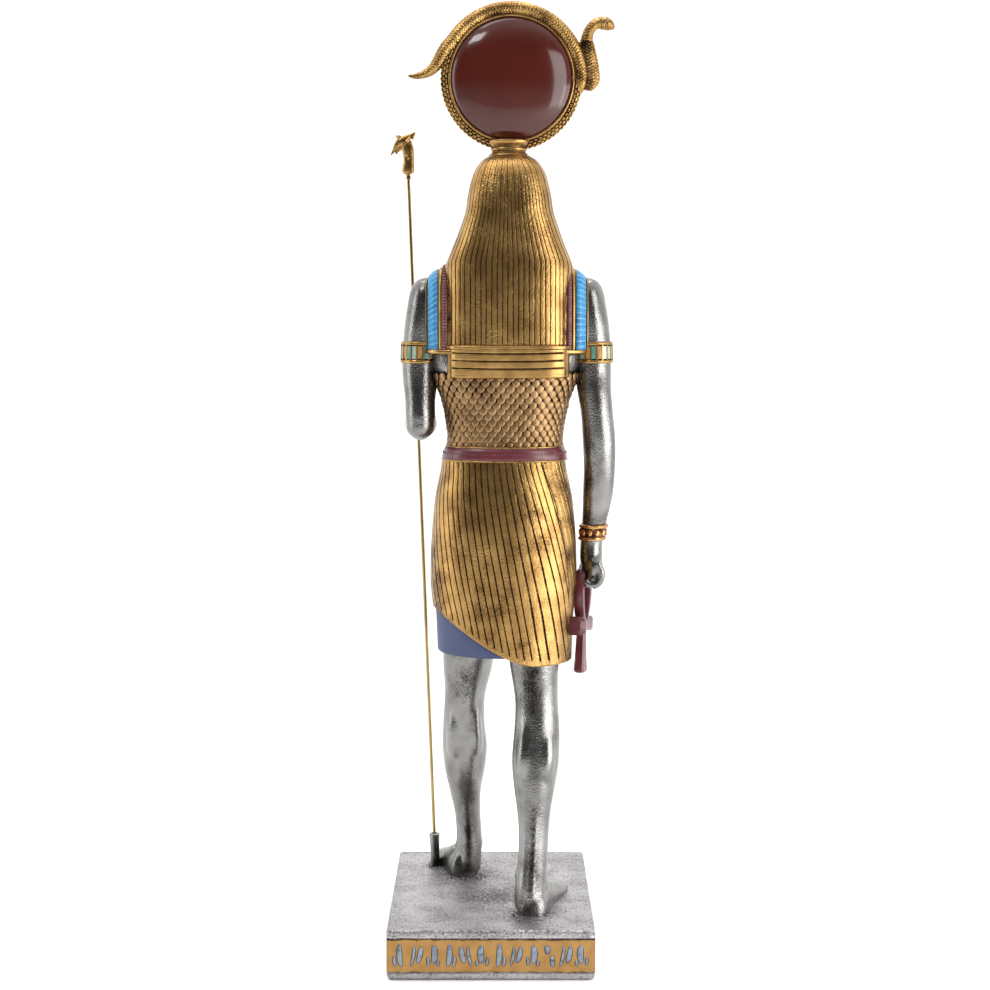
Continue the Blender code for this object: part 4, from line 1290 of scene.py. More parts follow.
RIGHT_LEG = Leg(Side.RIGHT, (
    (-8.6, 7.0, 88, 8.8, 9.4), (-8.7, 7.4, 83, 8.6, 9.1), (-8.8, 8.5, 76.7, 7.9, 8.7),
    (-9.5, 10.1, 65, 6.9, 7.6), (-9.6, 11.8, 55.3, 7.3, 7.4), (-9.1, 13.4, 46.2, 7.5, 7.5),
    (-8.7, 15.4, 36.5, 6.3, 6.6), (-8.6, 16.6, 31, 5.4, 5.7), (-8.5, 18.2, 22.9, 4.8, 4.8),
    (-8.1, 19.8, 14.7, 4.7, 4.6), (-7.5, 21.2, 7.0, 5.0, 5.2), (-7.4, 21.6, 1.0, 5.2, 5.4),
), (-7.2, 27.5), math.radians(-15), 34, (
    (-7.6, 16.5, 72, 4.2, 17, 0.85), (-8.4, 18.5, 56, 3.4, 9, 0.5), (-8.1, 24.5, 17, 2.1, 17, 0.85),
    (-7.4, 28.0, 3, 4.0, 3.5, 0.7),
))


@dataclass(frozen=True)
class Band:
    """Ring of metal round an arm: a frame with inlays or studs."""

    top: float
    bottom: float
    stand: float


ARMLET = Band(178.6, 171.8, 0.75)
BRACELET = Band(120.2, 115.0, 0.75)
UPPER_ARM = (
    (24.3, 0.5, 198.6, 1.0, 1.9), (24.5, 0.5, 197.6, 3.0, 4.0), (25.0, 0.5, 195.3, 4.7, 5.7),
    (25.7, 0.6, 192.3, 5.2, 6.5), (26.2, 0.6, 189, 5.3, 6.8), (26.8, 0.8, 184, 5.5, 6.8),
    (27.1, 0.9, 179, 5.7, 6.5), (27.4, 1.4, 168, 5.7, 6.1),
)
RIGHT_FOREARM = (
    (-27.7, 2.0, 163.3, 5.4, 5.7), (-28.5, 2.4, 157, 5.1, 5.6), (-29.3, 2.5, 147.5, 5.2, 5.5),
    (-29.5, 1.9, 138, 5.0, 5.1), (-29.1, 0.8, 130, 4.8, 4.7), (-28.2, -0.3, 122, 4.0, 4.0),
    (-27.2, -1.1, 113.5, 3.5, 3.9), (-27.2, -1.2, 109, 3.6, 4.6), (-27.6, -1.0, 105, 3.4, 5.0),
)
LEFT_ELBOW = (
    (27.4, 3.0, 160, 4.8, 5.4), (27.3, 3.8, 153.4, 4.6, 5.4), (27.3, 3.8, 149.6, 3.8, 4.4),
    (27.3, 3.6, 147.8, 1.8, 2.2),
)
LEFT_FOREARM = (
    (27.3, 6.6, 152.4, 3.4, 3.2), (27.3, 3.0, 152.5, 4.7, 4.6), (27.4, -5.0, 152.9, 4.9, 4.9),
    (27.8, -14.0, 153.4, 4.2, 4.1), (28.4, -21.5, 153.7, 3.3, 3.4), (29.1, -24.4, 153.8, 3.9, 3.9),
    (29.5, -28.0, 153.8, 4.1, 3.9), (29.5, -31.0, 153.8, 3.4, 3.4), (29.4, -32.6, 153.8, 1.8, 2.0),
)


@dataclass(frozen=True)
class Arm:
    """Bare arm with its fist, armlet and, on the right, bracelet."""

    side: Side
    inlays: tuple
    stains: tuple
    cells: int = 21

    def path(self) -> list:
        """Stations down the hanging part of the arm."""
        s = self.side.value
        upper = [(s * x, *rest) for x, *rest in UPPER_ARM]
        return upper + list(LEFT_ELBOW if self.side is Side.LEFT else RIGHT_FOREARM)

    def at(self, z: float, share: np.ndarray, grow: float) -> np.ndarray:
        """Points round the arm at a height, 0 at the back and growing to the figure's left."""
        keys = np.array(self.path())
        order = np.argsort(keys[:, 2])
        x, y, w, d = (np.interp(z, keys[order, 2], keys[order, k]) for k in (0, 1, 3, 4))
        turn = share * FULL_TURN
        return np.stack([
            x + np.sin(turn) * (w + grow), y + np.cos(turn) * (d + grow), np.full(turn.shape, z),
        ], -1)

    def muscles(self) -> list[np.ndarray]:
        """Shoulder, upper arm and forearm muscles and the elbow."""
        s = self.side.value
        made = [
            blob((s * 26.4, 1.6, 187), (4.7, 5.5, 9.0), columns=28),
            blob((s * 27.2, 3.0, 170), (4.4, 4.4, 12), columns=28),
            blob((s * 27.4, -1.4, 170), (4.6, 4.2, 10), columns=28),
        ]
        if self.side is Side.RIGHT:
            made += [
                blob((-28.2, 5.0, 155.5), (2.4, 2.9, 4.6), columns=20),
                blob((-30.9, 2.2, 147), (3.5, 4.8, 11), columns=26),
                blob((-27.8, 3.4, 145), (3.2, 4.3, 12), columns=26),
            ]
        else:
            made.append(limb(list(LEFT_FOREARM), 60, 36))
        return made

    def fist(self) -> list[np.ndarray]:
        """Back of the hand, four curled fingers and the thumb."""
        if self.side is Side.RIGHT:
            made = [blob((-28.0, -0.4, 106.5), (2.9, 5.0, 5.2), columns=26),
                    blob((-27.6, -0.3, 103.0), (2.7, 4.7, 3.1), columns=26)]
            for k in range(4):
                y = 3.5 - 2.55 * k
                z = 103.9 - 0.2 * k * (3 - k)
                made.append(limb([(-28.9, y, z + 4.6, 1.1, 1.2), (-30.2, y, z + 0.5, 1.3, 1.3),
                                  (-29.5, y, z - 1.9, 1.3, 1.25), (-27.9, y, z - 3.1, 1.25, 1.25),
                                  (-25.7, y, z - 2.5, 1.2, 1.2), (-25.0, y, z - 1.2, 1.0, 1.0)], 26, 16))
            made.append(limb([(-26.4, -5.2, 109, 1.5, 1.5), (-25.2, -6.3, 105.5, 1.6, 1.6),
                              (-24.6, -5.2, 102.2, 1.5, 1.4), (-25.0, -3.0, 100.6, 1.1, 1.1)], 22, 16))
            return made
        made = [blob((30.8, -28.0, 153.8), (2.7, 4.0, 5.0), columns=26)]
        for k in range(4):
            z = 157.6 - 2.5 * k
            made.append(limb([(31.9, -26.2, z, 1.3, 1.3), (32.3, -29.0, z, 1.35, 1.3),
                              (31.3, -31.8, z, 1.3, 1.25), (28.9, -32.6, z, 1.25, 1.2),
                              (27.2, -31.0, z, 1.2, 1.15), (27.3, -29.0, z, 0.9, 0.9)], 26, 16))
        made.append(limb([(27.6, -24.6, 155.6, 1.5, 1.5), (26.6, -27.0, 157.6, 1.5, 1.5),
                          (27.8, -29.8, 158.9, 1.35, 1.3), (29.6, -31.2, 159.0, 1.0, 1.0)], 22, 16))
        return made

    def ring_grid(self, band: Band, profile: tuple, columns: int = 96) -> np.ndarray:
        """Grid round the arm over a band's profile of shares down and shares out."""
        share = np.linspace(-0.5, 0.5, columns, endpoint=False)
        return np.stack([
            self.at(band.top + (band.bottom - band.top) * down, share, band.stand * out)
            for down, out in profile
        ])

    def armlet(self) -> None:
        """Gold frame with narrow framed inlays of three colours."""
        profile = ((0, -0.8), (0.0, 0.6), (0.05, 1.0), (0.12, 1.0), (0.17, 0.45), (0.5, 0.4), (0.83, 0.45),
                   (0.88, 1.0), (0.95, 1.0), (1.0, 0.6), (1.0, -0.8))
        deep = np.array([1, 0.5, 0, 0, 0.9, 0.7, 0.9, 0, 0, 0.5, 1.0])
        grid = self.ring_grid(ARMLET, profile)
        name = self.side.word
        tube_piece(f"{name}_armlet", grid, BRIGHT_GOLD, np.repeat(deep[:, None], 96, 1))
        cells = {GREEN_INLAY: [], PALE_INLAY: [], AMBER: [], BRIGHT_GOLD: []}
        for k in range(self.cells):
            finish = self.inlays[k % len(self.inlays)]
            middle, edge = (k + 0.5) / self.cells - 0.5, k / self.cells - 0.5
            cells[finish].append(self.slab(middle, 0.38 / self.cells, (0.21, 0.79), 0.2, 0.8))
            cells[BRIGHT_GOLD].append(self.slab(edge, 0.09 / self.cells, (0.12, 0.88), 0.2, 1.0))
        for finish, slabs in cells.items():
            points, faces = join_tubes(slabs)
            mesh = mesh_of("inlay", points, faces, np.clip(0.2 + 0.4 * ripple(points, 1.5, 4), 0, 1), 40)
            piece(f"{name}_armlet_{finish.name}", mesh, finish)

    def slab(self, centre: float, half: float, ends: tuple, low: float, out: float) -> np.ndarray:
        """Small plate that follows the arm.

        Args:
            centre: Its place round the arm, as a share.
            half: Half its width, as a share.
            ends: How far down the armlet it starts and ends, as shares.
            low: Stand of its back, as a share of the armlet's.
            out: Stand of its face.

        Returns:
            Points as rows by columns by three.
        """
        share = np.linspace(centre - half, centre + half, 5)
        rows = []
        for down in np.linspace(*ends, 5):
            z = ARMLET.top + (ARMLET.bottom - ARMLET.top) * down
            face, back = self.at(z, share, ARMLET.stand * out), self.at(z, share[::-1], ARMLET.stand * low)
            rows.append(np.concatenate([face, back]))
        return np.stack(rows)

    def bracelet(self) -> None:
        """Copper gold band with raised rims and oval studs."""
        profile = ((0, -0.8), (0.0, 0.7), (0.07, 1.25), (0.16, 1.25), (0.24, 0.55), (0.5, 0.5), (0.76, 0.55),
                   (0.84, 1.25), (0.93, 1.25), (1.0, 0.7), (1.0, -0.8))
        deep = np.array([1, 0.4, 0, 0, 0.9, 0.75, 0.9, 0, 0, 0.4, 1.0])
        tube_piece("bracelet", self.ring_grid(BRACELET, profile), COPPER, np.repeat(deep[:, None], 96, 1))
        share = np.linspace(-0.5, 0.5, 11, endpoint=False)
        middle = (BRACELET.top + BRACELET.bottom) / 2
        spots = self.at(middle, share, BRACELET.stand * 0.5)
        out = unit(self.at(middle, share, 2.0) - spots)
        side = np.cross(UP, out)
        Repeat("bracelet_studs", COPPER, 0.03, 0.05, 2).lay(stud(0.85, 1.15, 0.55), spots, out, side)

    def build(self) -> None:
        """Casts the arm and lays its bands on it."""
        skin = limb(self.path(), 110, 44)
        Flesh(f"{self.side.word}_arm", voxel=0.4).cast(
            [skin, *self.muscles(), *self.fist()], PEWTER, floor=None, stains=self.stains)
        self.armlet()
        if self.side is Side.RIGHT:
            self.bracelet()


# The last tuple of each arm is painted shade, on the sides towards the body and at the back of the elbow and
# forearm.
LEFT_ARM = Arm(Side.LEFT, (GREEN_INLAY, AMBER, PALE_INLAY), (
    (24.0, 4.0, 188, 3.0, 12, 0.5), (24.0, 6.0, 160, 3.0, 9, 0.6), (28.0, 8.5, 163, 2.0, 8, 0.5),
))
RIGHT_ARM = Arm(Side.RIGHT, (GREEN_INLAY, AMBER, PALE_INLAY, PALE_INLAY, AMBER), (
    (-24.5, 4.0, 158, 2.6, 16, 0.8), (-25.5, 4.0, 130, 2.4, 14, 0.7), (-28.6, 8.0, 164, 2.2, 6, 0.7),
    (-25.6, 3.0, 109, 2.0, 6, 0.9), (-29.0, 8.0, 146, 1.8, 12, 0.35),
))


@dataclass(frozen=True)
class FalconHead:
    """Falcon's head that looks out of the wig: brow, cheeks, hooked beak and eyes."""

    middle: float = -0.8

    def build(self) -> None:
        """Casts the head, its beak and its eyes."""
        m = self.middle
        skull = limb([
            (m, 2.0, 219.0, 9.0, 10.5), (m, -6.0, 218.8, 10.0, 11.2), (m, -10.5, 218.2, 8.8, 9.6),
            (m, -14.0, 217.2, 6.5, 7.1), (m, -16.6, 215.8, 4.2, 4.9), (m, -18.4, 214.6, 2.4, 3.0),
        ], 60, 44)
        parts = [skull]
        for s in (-1, 1):
            parts.append(limb([(m + s * 3.0, -14.6, 221.6, 1.0, 0.7), (m + s * 5.6, -12.6, 223.4, 1.6, 1.1),
                               (m + s * 8.0, -8.8, 223.6, 1.4, 1.0), (m + s * 9.0, -5.0, 222.6, 0.7, 0.6)], 22, 16))
            parts.append(blob((m + s * 6.0, -10.4, 213.6), (3.0, 3.6, 4.2), columns=22))
            for k in range(5):
                parts.append(limb([(m + s * (8.9 - 0.5 * k), -6.6 - 1.3 * k, 212.0, 0.5, 0.5),
                                   (m + s * (8.4 - 0.6 * k), -7.2 - 1.2 * k, 207.0, 0.3, 0.3)], 12, 10))
        Flesh("falcon_head", voxel=0.4, rounds=3, reach=12).cast(parts, PEWTER, floor=None)
        beak = limb([
            (m, -14.4, 217.0, 3.6, 3.9), (m, -17.0, 216.2, 3.2, 3.9), (m, -19.2, 214.6, 2.3, 3.2),
            (m, -20.9, 212.0, 1.4, 2.1), (m, -21.5, 209.6, 0.8, 1.1), (m, -21.4, 208.5, 0.15, 0.2),
        ], 40, 30)
        tube_piece("beak", beak, GOLD, np.clip(0.3 + 0.4 * ripple(beak, 3, 6), 0, 1))
        for side in (Side.RIGHT, Side.LEFT):
            s = side.value
            eye = blob((m + s * 7.7, -11.0, 219.2), (1.5, 1.9, 1.7))
            tube_piece(f"eye_{side.word}", eye, EYE_GLASS)
            turn = np.linspace(0, FULL_TURN, 28)
            ring = [(m + s * (8.5 - 0.14 * (2 * math.cos(t)) ** 2), -11.2 - 2.2 * math.cos(t),
                     219.2 + 1.9 * math.sin(t), 0.34, 0.34) for t in turn]
            tube_piece(f"eyelid_{side.word}", limb(ring, 60, 10), BRIGHT_GOLD)


# Dress


def groove_shares(count: int) -> np.ndarray:
    """Places round a form, ten to a rib, crowded where the grooves are."""
    phases = np.array([0, 0.05, 0.09, 0.13, 0.3, 0.5, 0.7, 0.87, 0.91, 0.95])
    return ((np.arange(count)[:, None] + phases) / count).ravel() - 0.5


@dataclass(frozen=True)
class Wig:
    """Long wig of straight locks, with the lappets that hang in front and the panel under its back."""

    locks: int = 60
    groove: float = 0.13
    foot: float = 177.0
    lappet: tuple = ((9.5, -7.5, 209, 5.0, 2.6), (11.0, -11.0, 202, 5.3, 2.6), (11.3, -13.0, 194, 5.2, 2.5),
                     (10.9, -14.2, 184, 4.8, 2.4), (10.5, -14.6, 172, 4.4, 2.2))

    def straight(self, share: np.ndarray, z: float) -> np.ndarray:
        """Shares that run the locks straight down the back, though the outline bulges over the shoulders."""
        dense = np.linspace(-0.25, 0.25, 301)
        low, here = (WIG.points(dense, np.full(dense.shape, level))[:, 0] for level in (self.foot, z))
        wanted = np.interp(share, dense, low) * min(1.0, here.max() / low.max())
        found = np.interp(wanted, here, dense)
        return share + (found - share) * (1 - ease((np.abs(share) - 0.18) / 0.07))

    def hair(self) -> None:
        """Casts the locks, their grooves dark and a little uneven."""
        share = groove_shares(self.locks)
        heights = np.concatenate([np.linspace(236.4, 228, 18), np.linspace(227, 177, 42)])
        lock = np.round(share * self.locks)
        odd = lock % 2
        grids, deep = [], []
        dice = np.random.default_rng(7)
        start = dice.uniform(-0.05, 0.05, self.locks + 2)[(lock + self.locks // 2).astype(int)]
        for z in heights:
            wander = (start + 0.03 * np.sin(z * 0.21 + lock * 2.1)) / self.locks
            cut = ditch(share * self.locks, 0.045)
            fade = ease((236.5 - z) / 2.5)
            belly = 0.016 * np.cos(share * self.locks * FULL_TURN)
            grow = -self.groove * cut * fade - belly * fade
            grids.append(WIG.points(self.straight(share + wander, z), np.full(share.shape, z), grow))
            deep.append(inked(share * self.locks) * (0.55 + 0.45 * fade) * (1 - odd * ease((z - 223) / 6)))
        grid = np.stack(grids)
        cavity = np.clip(np.stack(deep) + 0.16 * ripple(grid, 9, 3), 0, 1)
        tube_piece("wig", grid, GOLD, cavity)

    def panel(self) -> None:
        """Casts the framed panel with ribs lying across it under the locks."""
        share = np.linspace(-0.5, 0.5, 160, endpoint=False)
        heights = np.linspace(177.7, 167.4, 84)
        grid = PANEL.grid(share, heights)
        x = grid[..., 0] + 0.3
        half = 17.5
        inside = np.clip((half - np.abs(x)) / 0.5, 0, 1) * (grid[..., 1] > 6)
        down = (177.7 - heights)[:, None] * np.ones_like(x)
        bow = 0.22 * (x / half) ** 2
        pitch = 2.35
        cut = ditch((down + bow - 2.6) / pitch, 0.085) * inside * ((down > 1.6) & (down < 9.2))
        side = np.exp(-(((np.abs(x) - half - 0.3) / 0.3) ** 2)) * (grid[..., 1] > 5)
        step = np.where(down < 1.2, 0.75, 0.35) * (grid[..., 1] > 6)
        grow = step - 0.4 * cut - 0.25 * side - 0.5 * np.clip(1 - down / 0.3, 0, 1)
        grid = PANEL.grid(share, heights, grow - 0.5 * np.clip(1 - (10.3 - down) / 0.4, 0, 1))
        edge = np.exp(-(((down - 1.25) / 0.25) ** 2)) * 0.8
        deep = np.maximum.reduce([np.minimum(cut * 1.7, 1), side * 0.7, edge])
        tube_piece("wig_panel", grid, BRIGHT_GOLD, np.clip(deep + 0.15 * ripple(grid, 5, 9), 0, 1))

    def lappets(self) -> None:
        """Casts the locks that hang in front of each shoulder."""
        for side in Side:
            stations = [(side.value * x, *rest) for x, *rest in self.lappet]
            grid = limb(stations, 60, 128, power=3.0)
            phase = np.linspace(0, 16, 128, endpoint=False)[None] * np.ones((60, 1))
            cut = ditch(phase, 0.12)
            centre = grid.mean(axis=1, keepdims=True)
            grid = centre + (grid - centre) * (1 - 0.07 * cut[..., None])
            for k, z in enumerate(grid[:, 0, 2]):
                if z < 176.5:
                    cut[k] = ditch(np.full(128, (z - 172) / 1.4), 0.14)
            tube_piece(f"{side.word}_lappet", grid, GOLD, cut)

    def build(self) -> None:
        """Makes the wig and what hangs with it."""
        self.hair()
        self.panel()
        self.lappets()


@dataclass(frozen=True)
class Collar:
    """Broad collar: gold ground with rows of turquoise blocks and maroon beads laid round the neck."""

    bottom: float = 175.2
    back_bottom: float = 176.2
    under_wig: float = 18.0
    bead_pitch: float = 0.95
    rows: tuple = (
        ("outer_edge", 25.0, 25.9, 0.5, BRIGHT_GOLD, 0.0),
        ("turquoise_outer", 21.5, 24.8, 0.45, TURQUOISE, 1.75),
        ("gold_line", 20.3, 21.3, 0.4, BRIGHT_GOLD, 0.0),
        ("maroon_outer", 18.6, 20.2, 0.35, MAROON, 0.75),
        ("turquoise_inner", 14.2, 17.6, 0.4, TURQUOISE, 1.75),
        ("maroon_inner", 12.2, 13.8, 0.35, MAROON, 0.75),
    )

    def ground(self) -> None:
        """Casts the collar's ground."""
        share = np.linspace(-0.5, 0.5, 130, endpoint=False)
        heights = np.concatenate([np.linspace(206.5, 198, 24), np.linspace(197.5, 174.7, 30)])
        grid = COLLAR.grid(share, heights, -0.1)
        below = np.clip((177 - grid[..., 2]) / 1.0, 0, 1)
        cavity = np.clip(0.35 + 0.3 * ripple(grid, 4, 2) + 0.3 * below, 0, 1)
        tube_piece("collar_ground", grid, GOLD, cavity)

    def on(self, x: np.ndarray, z: np.ndarray, back: bool, grow: float) -> np.ndarray:
        """Points of the collar's back or front at a distance across and a height."""
        sizes = COLLAR.at(z)
        width, depth = sizes[..., 2] + grow, sizes[..., 3] + grow
        inside = np.clip(1 - np.abs((x - sizes[..., 0]) / width) ** COLLAR.power, 0, 1) ** (1 / COLLAR.power)
        return np.stack([x, sizes[..., 1] + (1 if back else -1) * depth * inside, z], -1)

    def top(self, away: float, grow: float) -> float:
        """Height at which the shoulder is as wide as a row's distance from the middle."""
        heights = np.linspace(206.4, 184, 900)
        sizes = COLLAR.at(heights)
        return float(heights[np.argmax(sizes[:, 2] + grow >= min(away, sizes[:, 2].max() + grow - 0.02))])

    def lane(self, away: float, grow: float, count: int) -> np.ndarray:
        """Line of a row: up the back on the left, over, round the chest and down the back on the right."""
        high = self.top(away, grow)
        rise = np.sin(np.linspace(0, math.pi / 2, count // 4))
        fall = rise[::-1]
        turn_z = 193.0
        ups = self.back_bottom + (high - self.back_bottom) * rise
        downs = turn_z + (high - turn_z) * fall
        arc = np.linspace(0, math.pi, count // 2)
        reach = (turn_z - self.bottom) * (away / 25.9)
        back = self.on(np.full(ups.shape, away), ups, True, grow)
        chest = self.on(np.full(downs.shape, away), downs, False, grow)[1:]
        round_ = self.on(away * np.cos(arc), turn_z - reach * np.sin(arc), False, grow)[1:-1]
        mirror = (-1, 1, 1)
        if away < self.under_wig:
            back = back[-1:]
        return np.concatenate([back, chest, round_, chest[::-1] * mirror, back[::-1] * mirror])

    def row(self, name: str, inner: float, outer: float, lift: float, finish: Finish, pitch: float) -> None:
        """Lays one row.

        Args:
            name: Its name.
            inner: Distance of its inner edge from the figure's middle.
            outer: Distance of its outer edge.
            lift: How far it stands off the ground.
            finish: What it is coated with.
            pitch: Length of the blocks or beads that it is cut into, or 0.
        """
        across = [inner, inner + 0.12, (inner + outer) / 2, outer - 0.12, outer]
        lifts = [0.0, lift * 0.85, lift, lift * 0.85, 0.0]
        count = 640 if pitch else 260
        lanes = [self.lane(a, g - 0.05, count) for a, g in zip(across, lifts)]
        under = [self.lane(a, -0.5, count) for a in (outer, inner)]
        grid = np.stack(lanes + under, axis=1)
        cavity = np.zeros(grid.shape[:2])
        cavity[:, [0, 4]] = 0.75
        if pitch:
            run = run_of(grid[:, 2])
            slant = np.linspace(-0.35, 0.35, 5)
            cut = ditch(run[:, None] / pitch + slant[None] * (1 if pitch > 1 else 0), 0.13)
            drop = grid[:, 5:6] - grid[:, :5]
            grid[:, :5] += unit(drop) * (cut * lift * 0.4)[..., None]
            cavity[:, :5] = np.maximum(cavity[:, :5] * (0.3 if finish is TURQUOISE else 1), cut)
        cavity = np.clip(cavity + 0.12 * ripple(grid, 3, 12), 0, 1)
        tube_piece(f"collar_{name}", grid, finish, cavity)

    def build(self) -> None:
        """Makes the collar and the gold line that ends it at the back."""
        self.ground()
        for row in self.rows:
            self.row(*row)
        lane, over = self.lane(19.4, 0.28, 900), self.lane(19.4, 1.3, 900)
        run = run_of(lane)
        at = np.arange(0.4, run[-1] - 0.4, self.bead_pitch)
        spots, ahead, above = (
            np.stack([np.interp(at + step, run, line[:, k]) for k in range(3)], -1)
            for step, line in ((0, lane), (0.3, lane), (0, over))
        )
        along = unit(ahead - spots)
        out = above - spots
        out = unit(out - along * (out * along).sum(axis=1, keepdims=True))
        bead = stud(0.34, 0.74, 0.42, count=8)
        Repeat("collar_beads", BEAD_RED, 0.02, 0.1, 9).lay(bead, spots, out, along)
        for side in Side:
            s = side.value
            x = np.linspace(17.2, 25.6, 24)
            line = self.on(x * s, np.full(x.shape, 175.6), True, 0.25)
            stations = [(*spot, 0.62, 0.4) for spot in line]
            end = limb(stations, 40, 16, power=3, side=(0, 0, 1))
            tube_piece(f"collar_{side.word}_end", end, BRIGHT_GOLD)


@dataclass(frozen=True)
class Corselet:
    """Bodice of small round-pointed scales, from the belt up to the collar."""

    around: int = 38
    pitch: float = 1.75
    courses: int = 14
    lowest: float = 144.6
    half_width: float = 1.46
    half_height: float = 1.75
    lean: float = 0.8

    def core(self) -> None:
        """Casts the dark ground under the scales, and the skin beside the panel, darkened as painted shade."""
        share = np.linspace(-0.5, 0.5, 96, endpoint=False)
        grid = TORSO.grid(share, np.linspace(181, 139, 40), -0.35)
        tube_piece("corselet_ground", grid, SCALE_GOLD, np.full(grid.shape[:2], 1.0))
        grow = np.array([-1.5, 0.0, 0.35, 0.42, 0.4, 0.1, -1.5])
        skin = TORSO.grid(share, np.linspace(177.5, 166.8, 7), grow[:, None])
        # Painted shade: the skin beside the panel under the wig is kept dark.
        tube_piece("back_skin", skin, PEWTER, np.clip(0.55 + 0.3 * ripple(skin, 3, 5), 0, 1))

    def scale(self) -> bpy.types.Mesh:
        """One scale: its point towards y, its middle domed, its rim and its upper part darkened as painted shade.

        Returns:
            Closed mesh round the origin.
        """
        turn = np.linspace(0, FULL_TURN, 12, endpoint=False)
        x = np.sin(turn) * self.half_width
        y = np.cos(turn) * self.half_height
        y = np.where(y > 0, y * (1.12 - 0.12 * np.abs(np.sin(turn))), y * 0.8)
        rings, deep = [], []
        # Painted shade: the rim and the upper part, which lies under the point of the scale above, are dark; the
        # middle stays bright.
        levels = ((1, -0.35, 1), (1, 0.08, 1), (0.93, 0.26, 0.35), (0.74, 0.4, 0), (0.35, 0.5, 0))
        for share, high, dark in levels:
            lean = self.lean * (y * share + self.half_height) / (2 * self.half_height)
            rings.append(np.stack([x * share, y * share, high + lean], -1))
            deep.append(np.clip(dark + 0.8 * ease(-y * share / self.half_height * 1.5), 0, 1))
        return small_shape("scale", rings, deep)

    def build(self) -> None:
        """Lays the courses of scales."""
        self.core()
        spots, outs, sides = [], [], []
        for course in range(self.courses):
            z = self.lowest + self.pitch * (course + 0.45)
            share = (np.arange(self.around) + (course % 2) / 2) / self.around - 0.5
            level = np.full(share.shape, z)
            spots.append(TORSO.points(share, level, 0.12))
            out = TORSO.outward(share, level)
            outs.append(out)
            sides.append(np.cross(out, UP))
        side = unit(np.concatenate(sides))
        Repeat("corselet_scales", SCALE_GOLD, 0.06, 0.1, 5).lay(
            self.scale(), np.concatenate(spots), unit(np.concatenate(outs)), side)


@dataclass(frozen=True)
class Belt:
    """Maroon belt with tiny studs between two gold lines, and a buckle in front."""

    def build(self) -> None:
        """Makes the belt."""
        share = np.linspace(-0.5, 0.5, 200, endpoint=False)
        heights = np.array([145.3, 145.15, 144.6, 143.8, 142.7, 141.6, 140.9, 140.4, 140.3]) + 0.8
        grow = np.array([-2.5, -0.4, 0.1, 0.22, 0.26, 0.22, 0.1, -0.4, -2.5])
        grid = BELT.grid(share, heights, grow[:, None])
        deep = np.array([1, 0.8, 0.3, 0, 0, 0, 0.3, 0.8, 1.0])[:, None] + 0.2 * ripple(grid, 2.5, 3)
        tube_piece("belt", grid, MAROON, np.clip(deep, 0, 1))
        for word, z, grow in (("top", 145.8, -0.12), ("bottom", 141.5, -0.05)):
            heights = np.array([z + 0.32, z + 0.28, z, z - 0.28, z - 0.32])
            out = np.array([-2.0, 0.15, 0.42, 0.15, -2.0]) + grow
            ring = BELT.grid(share, heights, out[:, None])
            deep = np.clip(0.3 + 0.4 * ripple(ring, 2, 4), 0, 1)
            tube_piece(f"belt_{word}_line", ring, BRIGHT_GOLD, deep)
        share = np.arange(104) / 104 - 0.5
        level = np.full(share.shape, 143.65)
        out = BELT.outward(share, level)
        Repeat("belt_studs", MAROON, 0.03, 0.2, 6).lay(
            stud(0.34, 0.34, 0.2, count=8), BELT.points(share, level, 0.22), out, unit(np.cross(UP, out)))
        buckle = blob((0.6, -15.0, 143.6), (4.0, 1.3, 2.9), columns=40)
        ridges = np.clip(np.cos(np.linspace(0, 6 * math.pi, 20)), 0, 1)[:, None] * np.ones((1, 40))
        tube_piece("belt_buckle", buckle, BRIGHT_GOLD, ridges * 0.6)


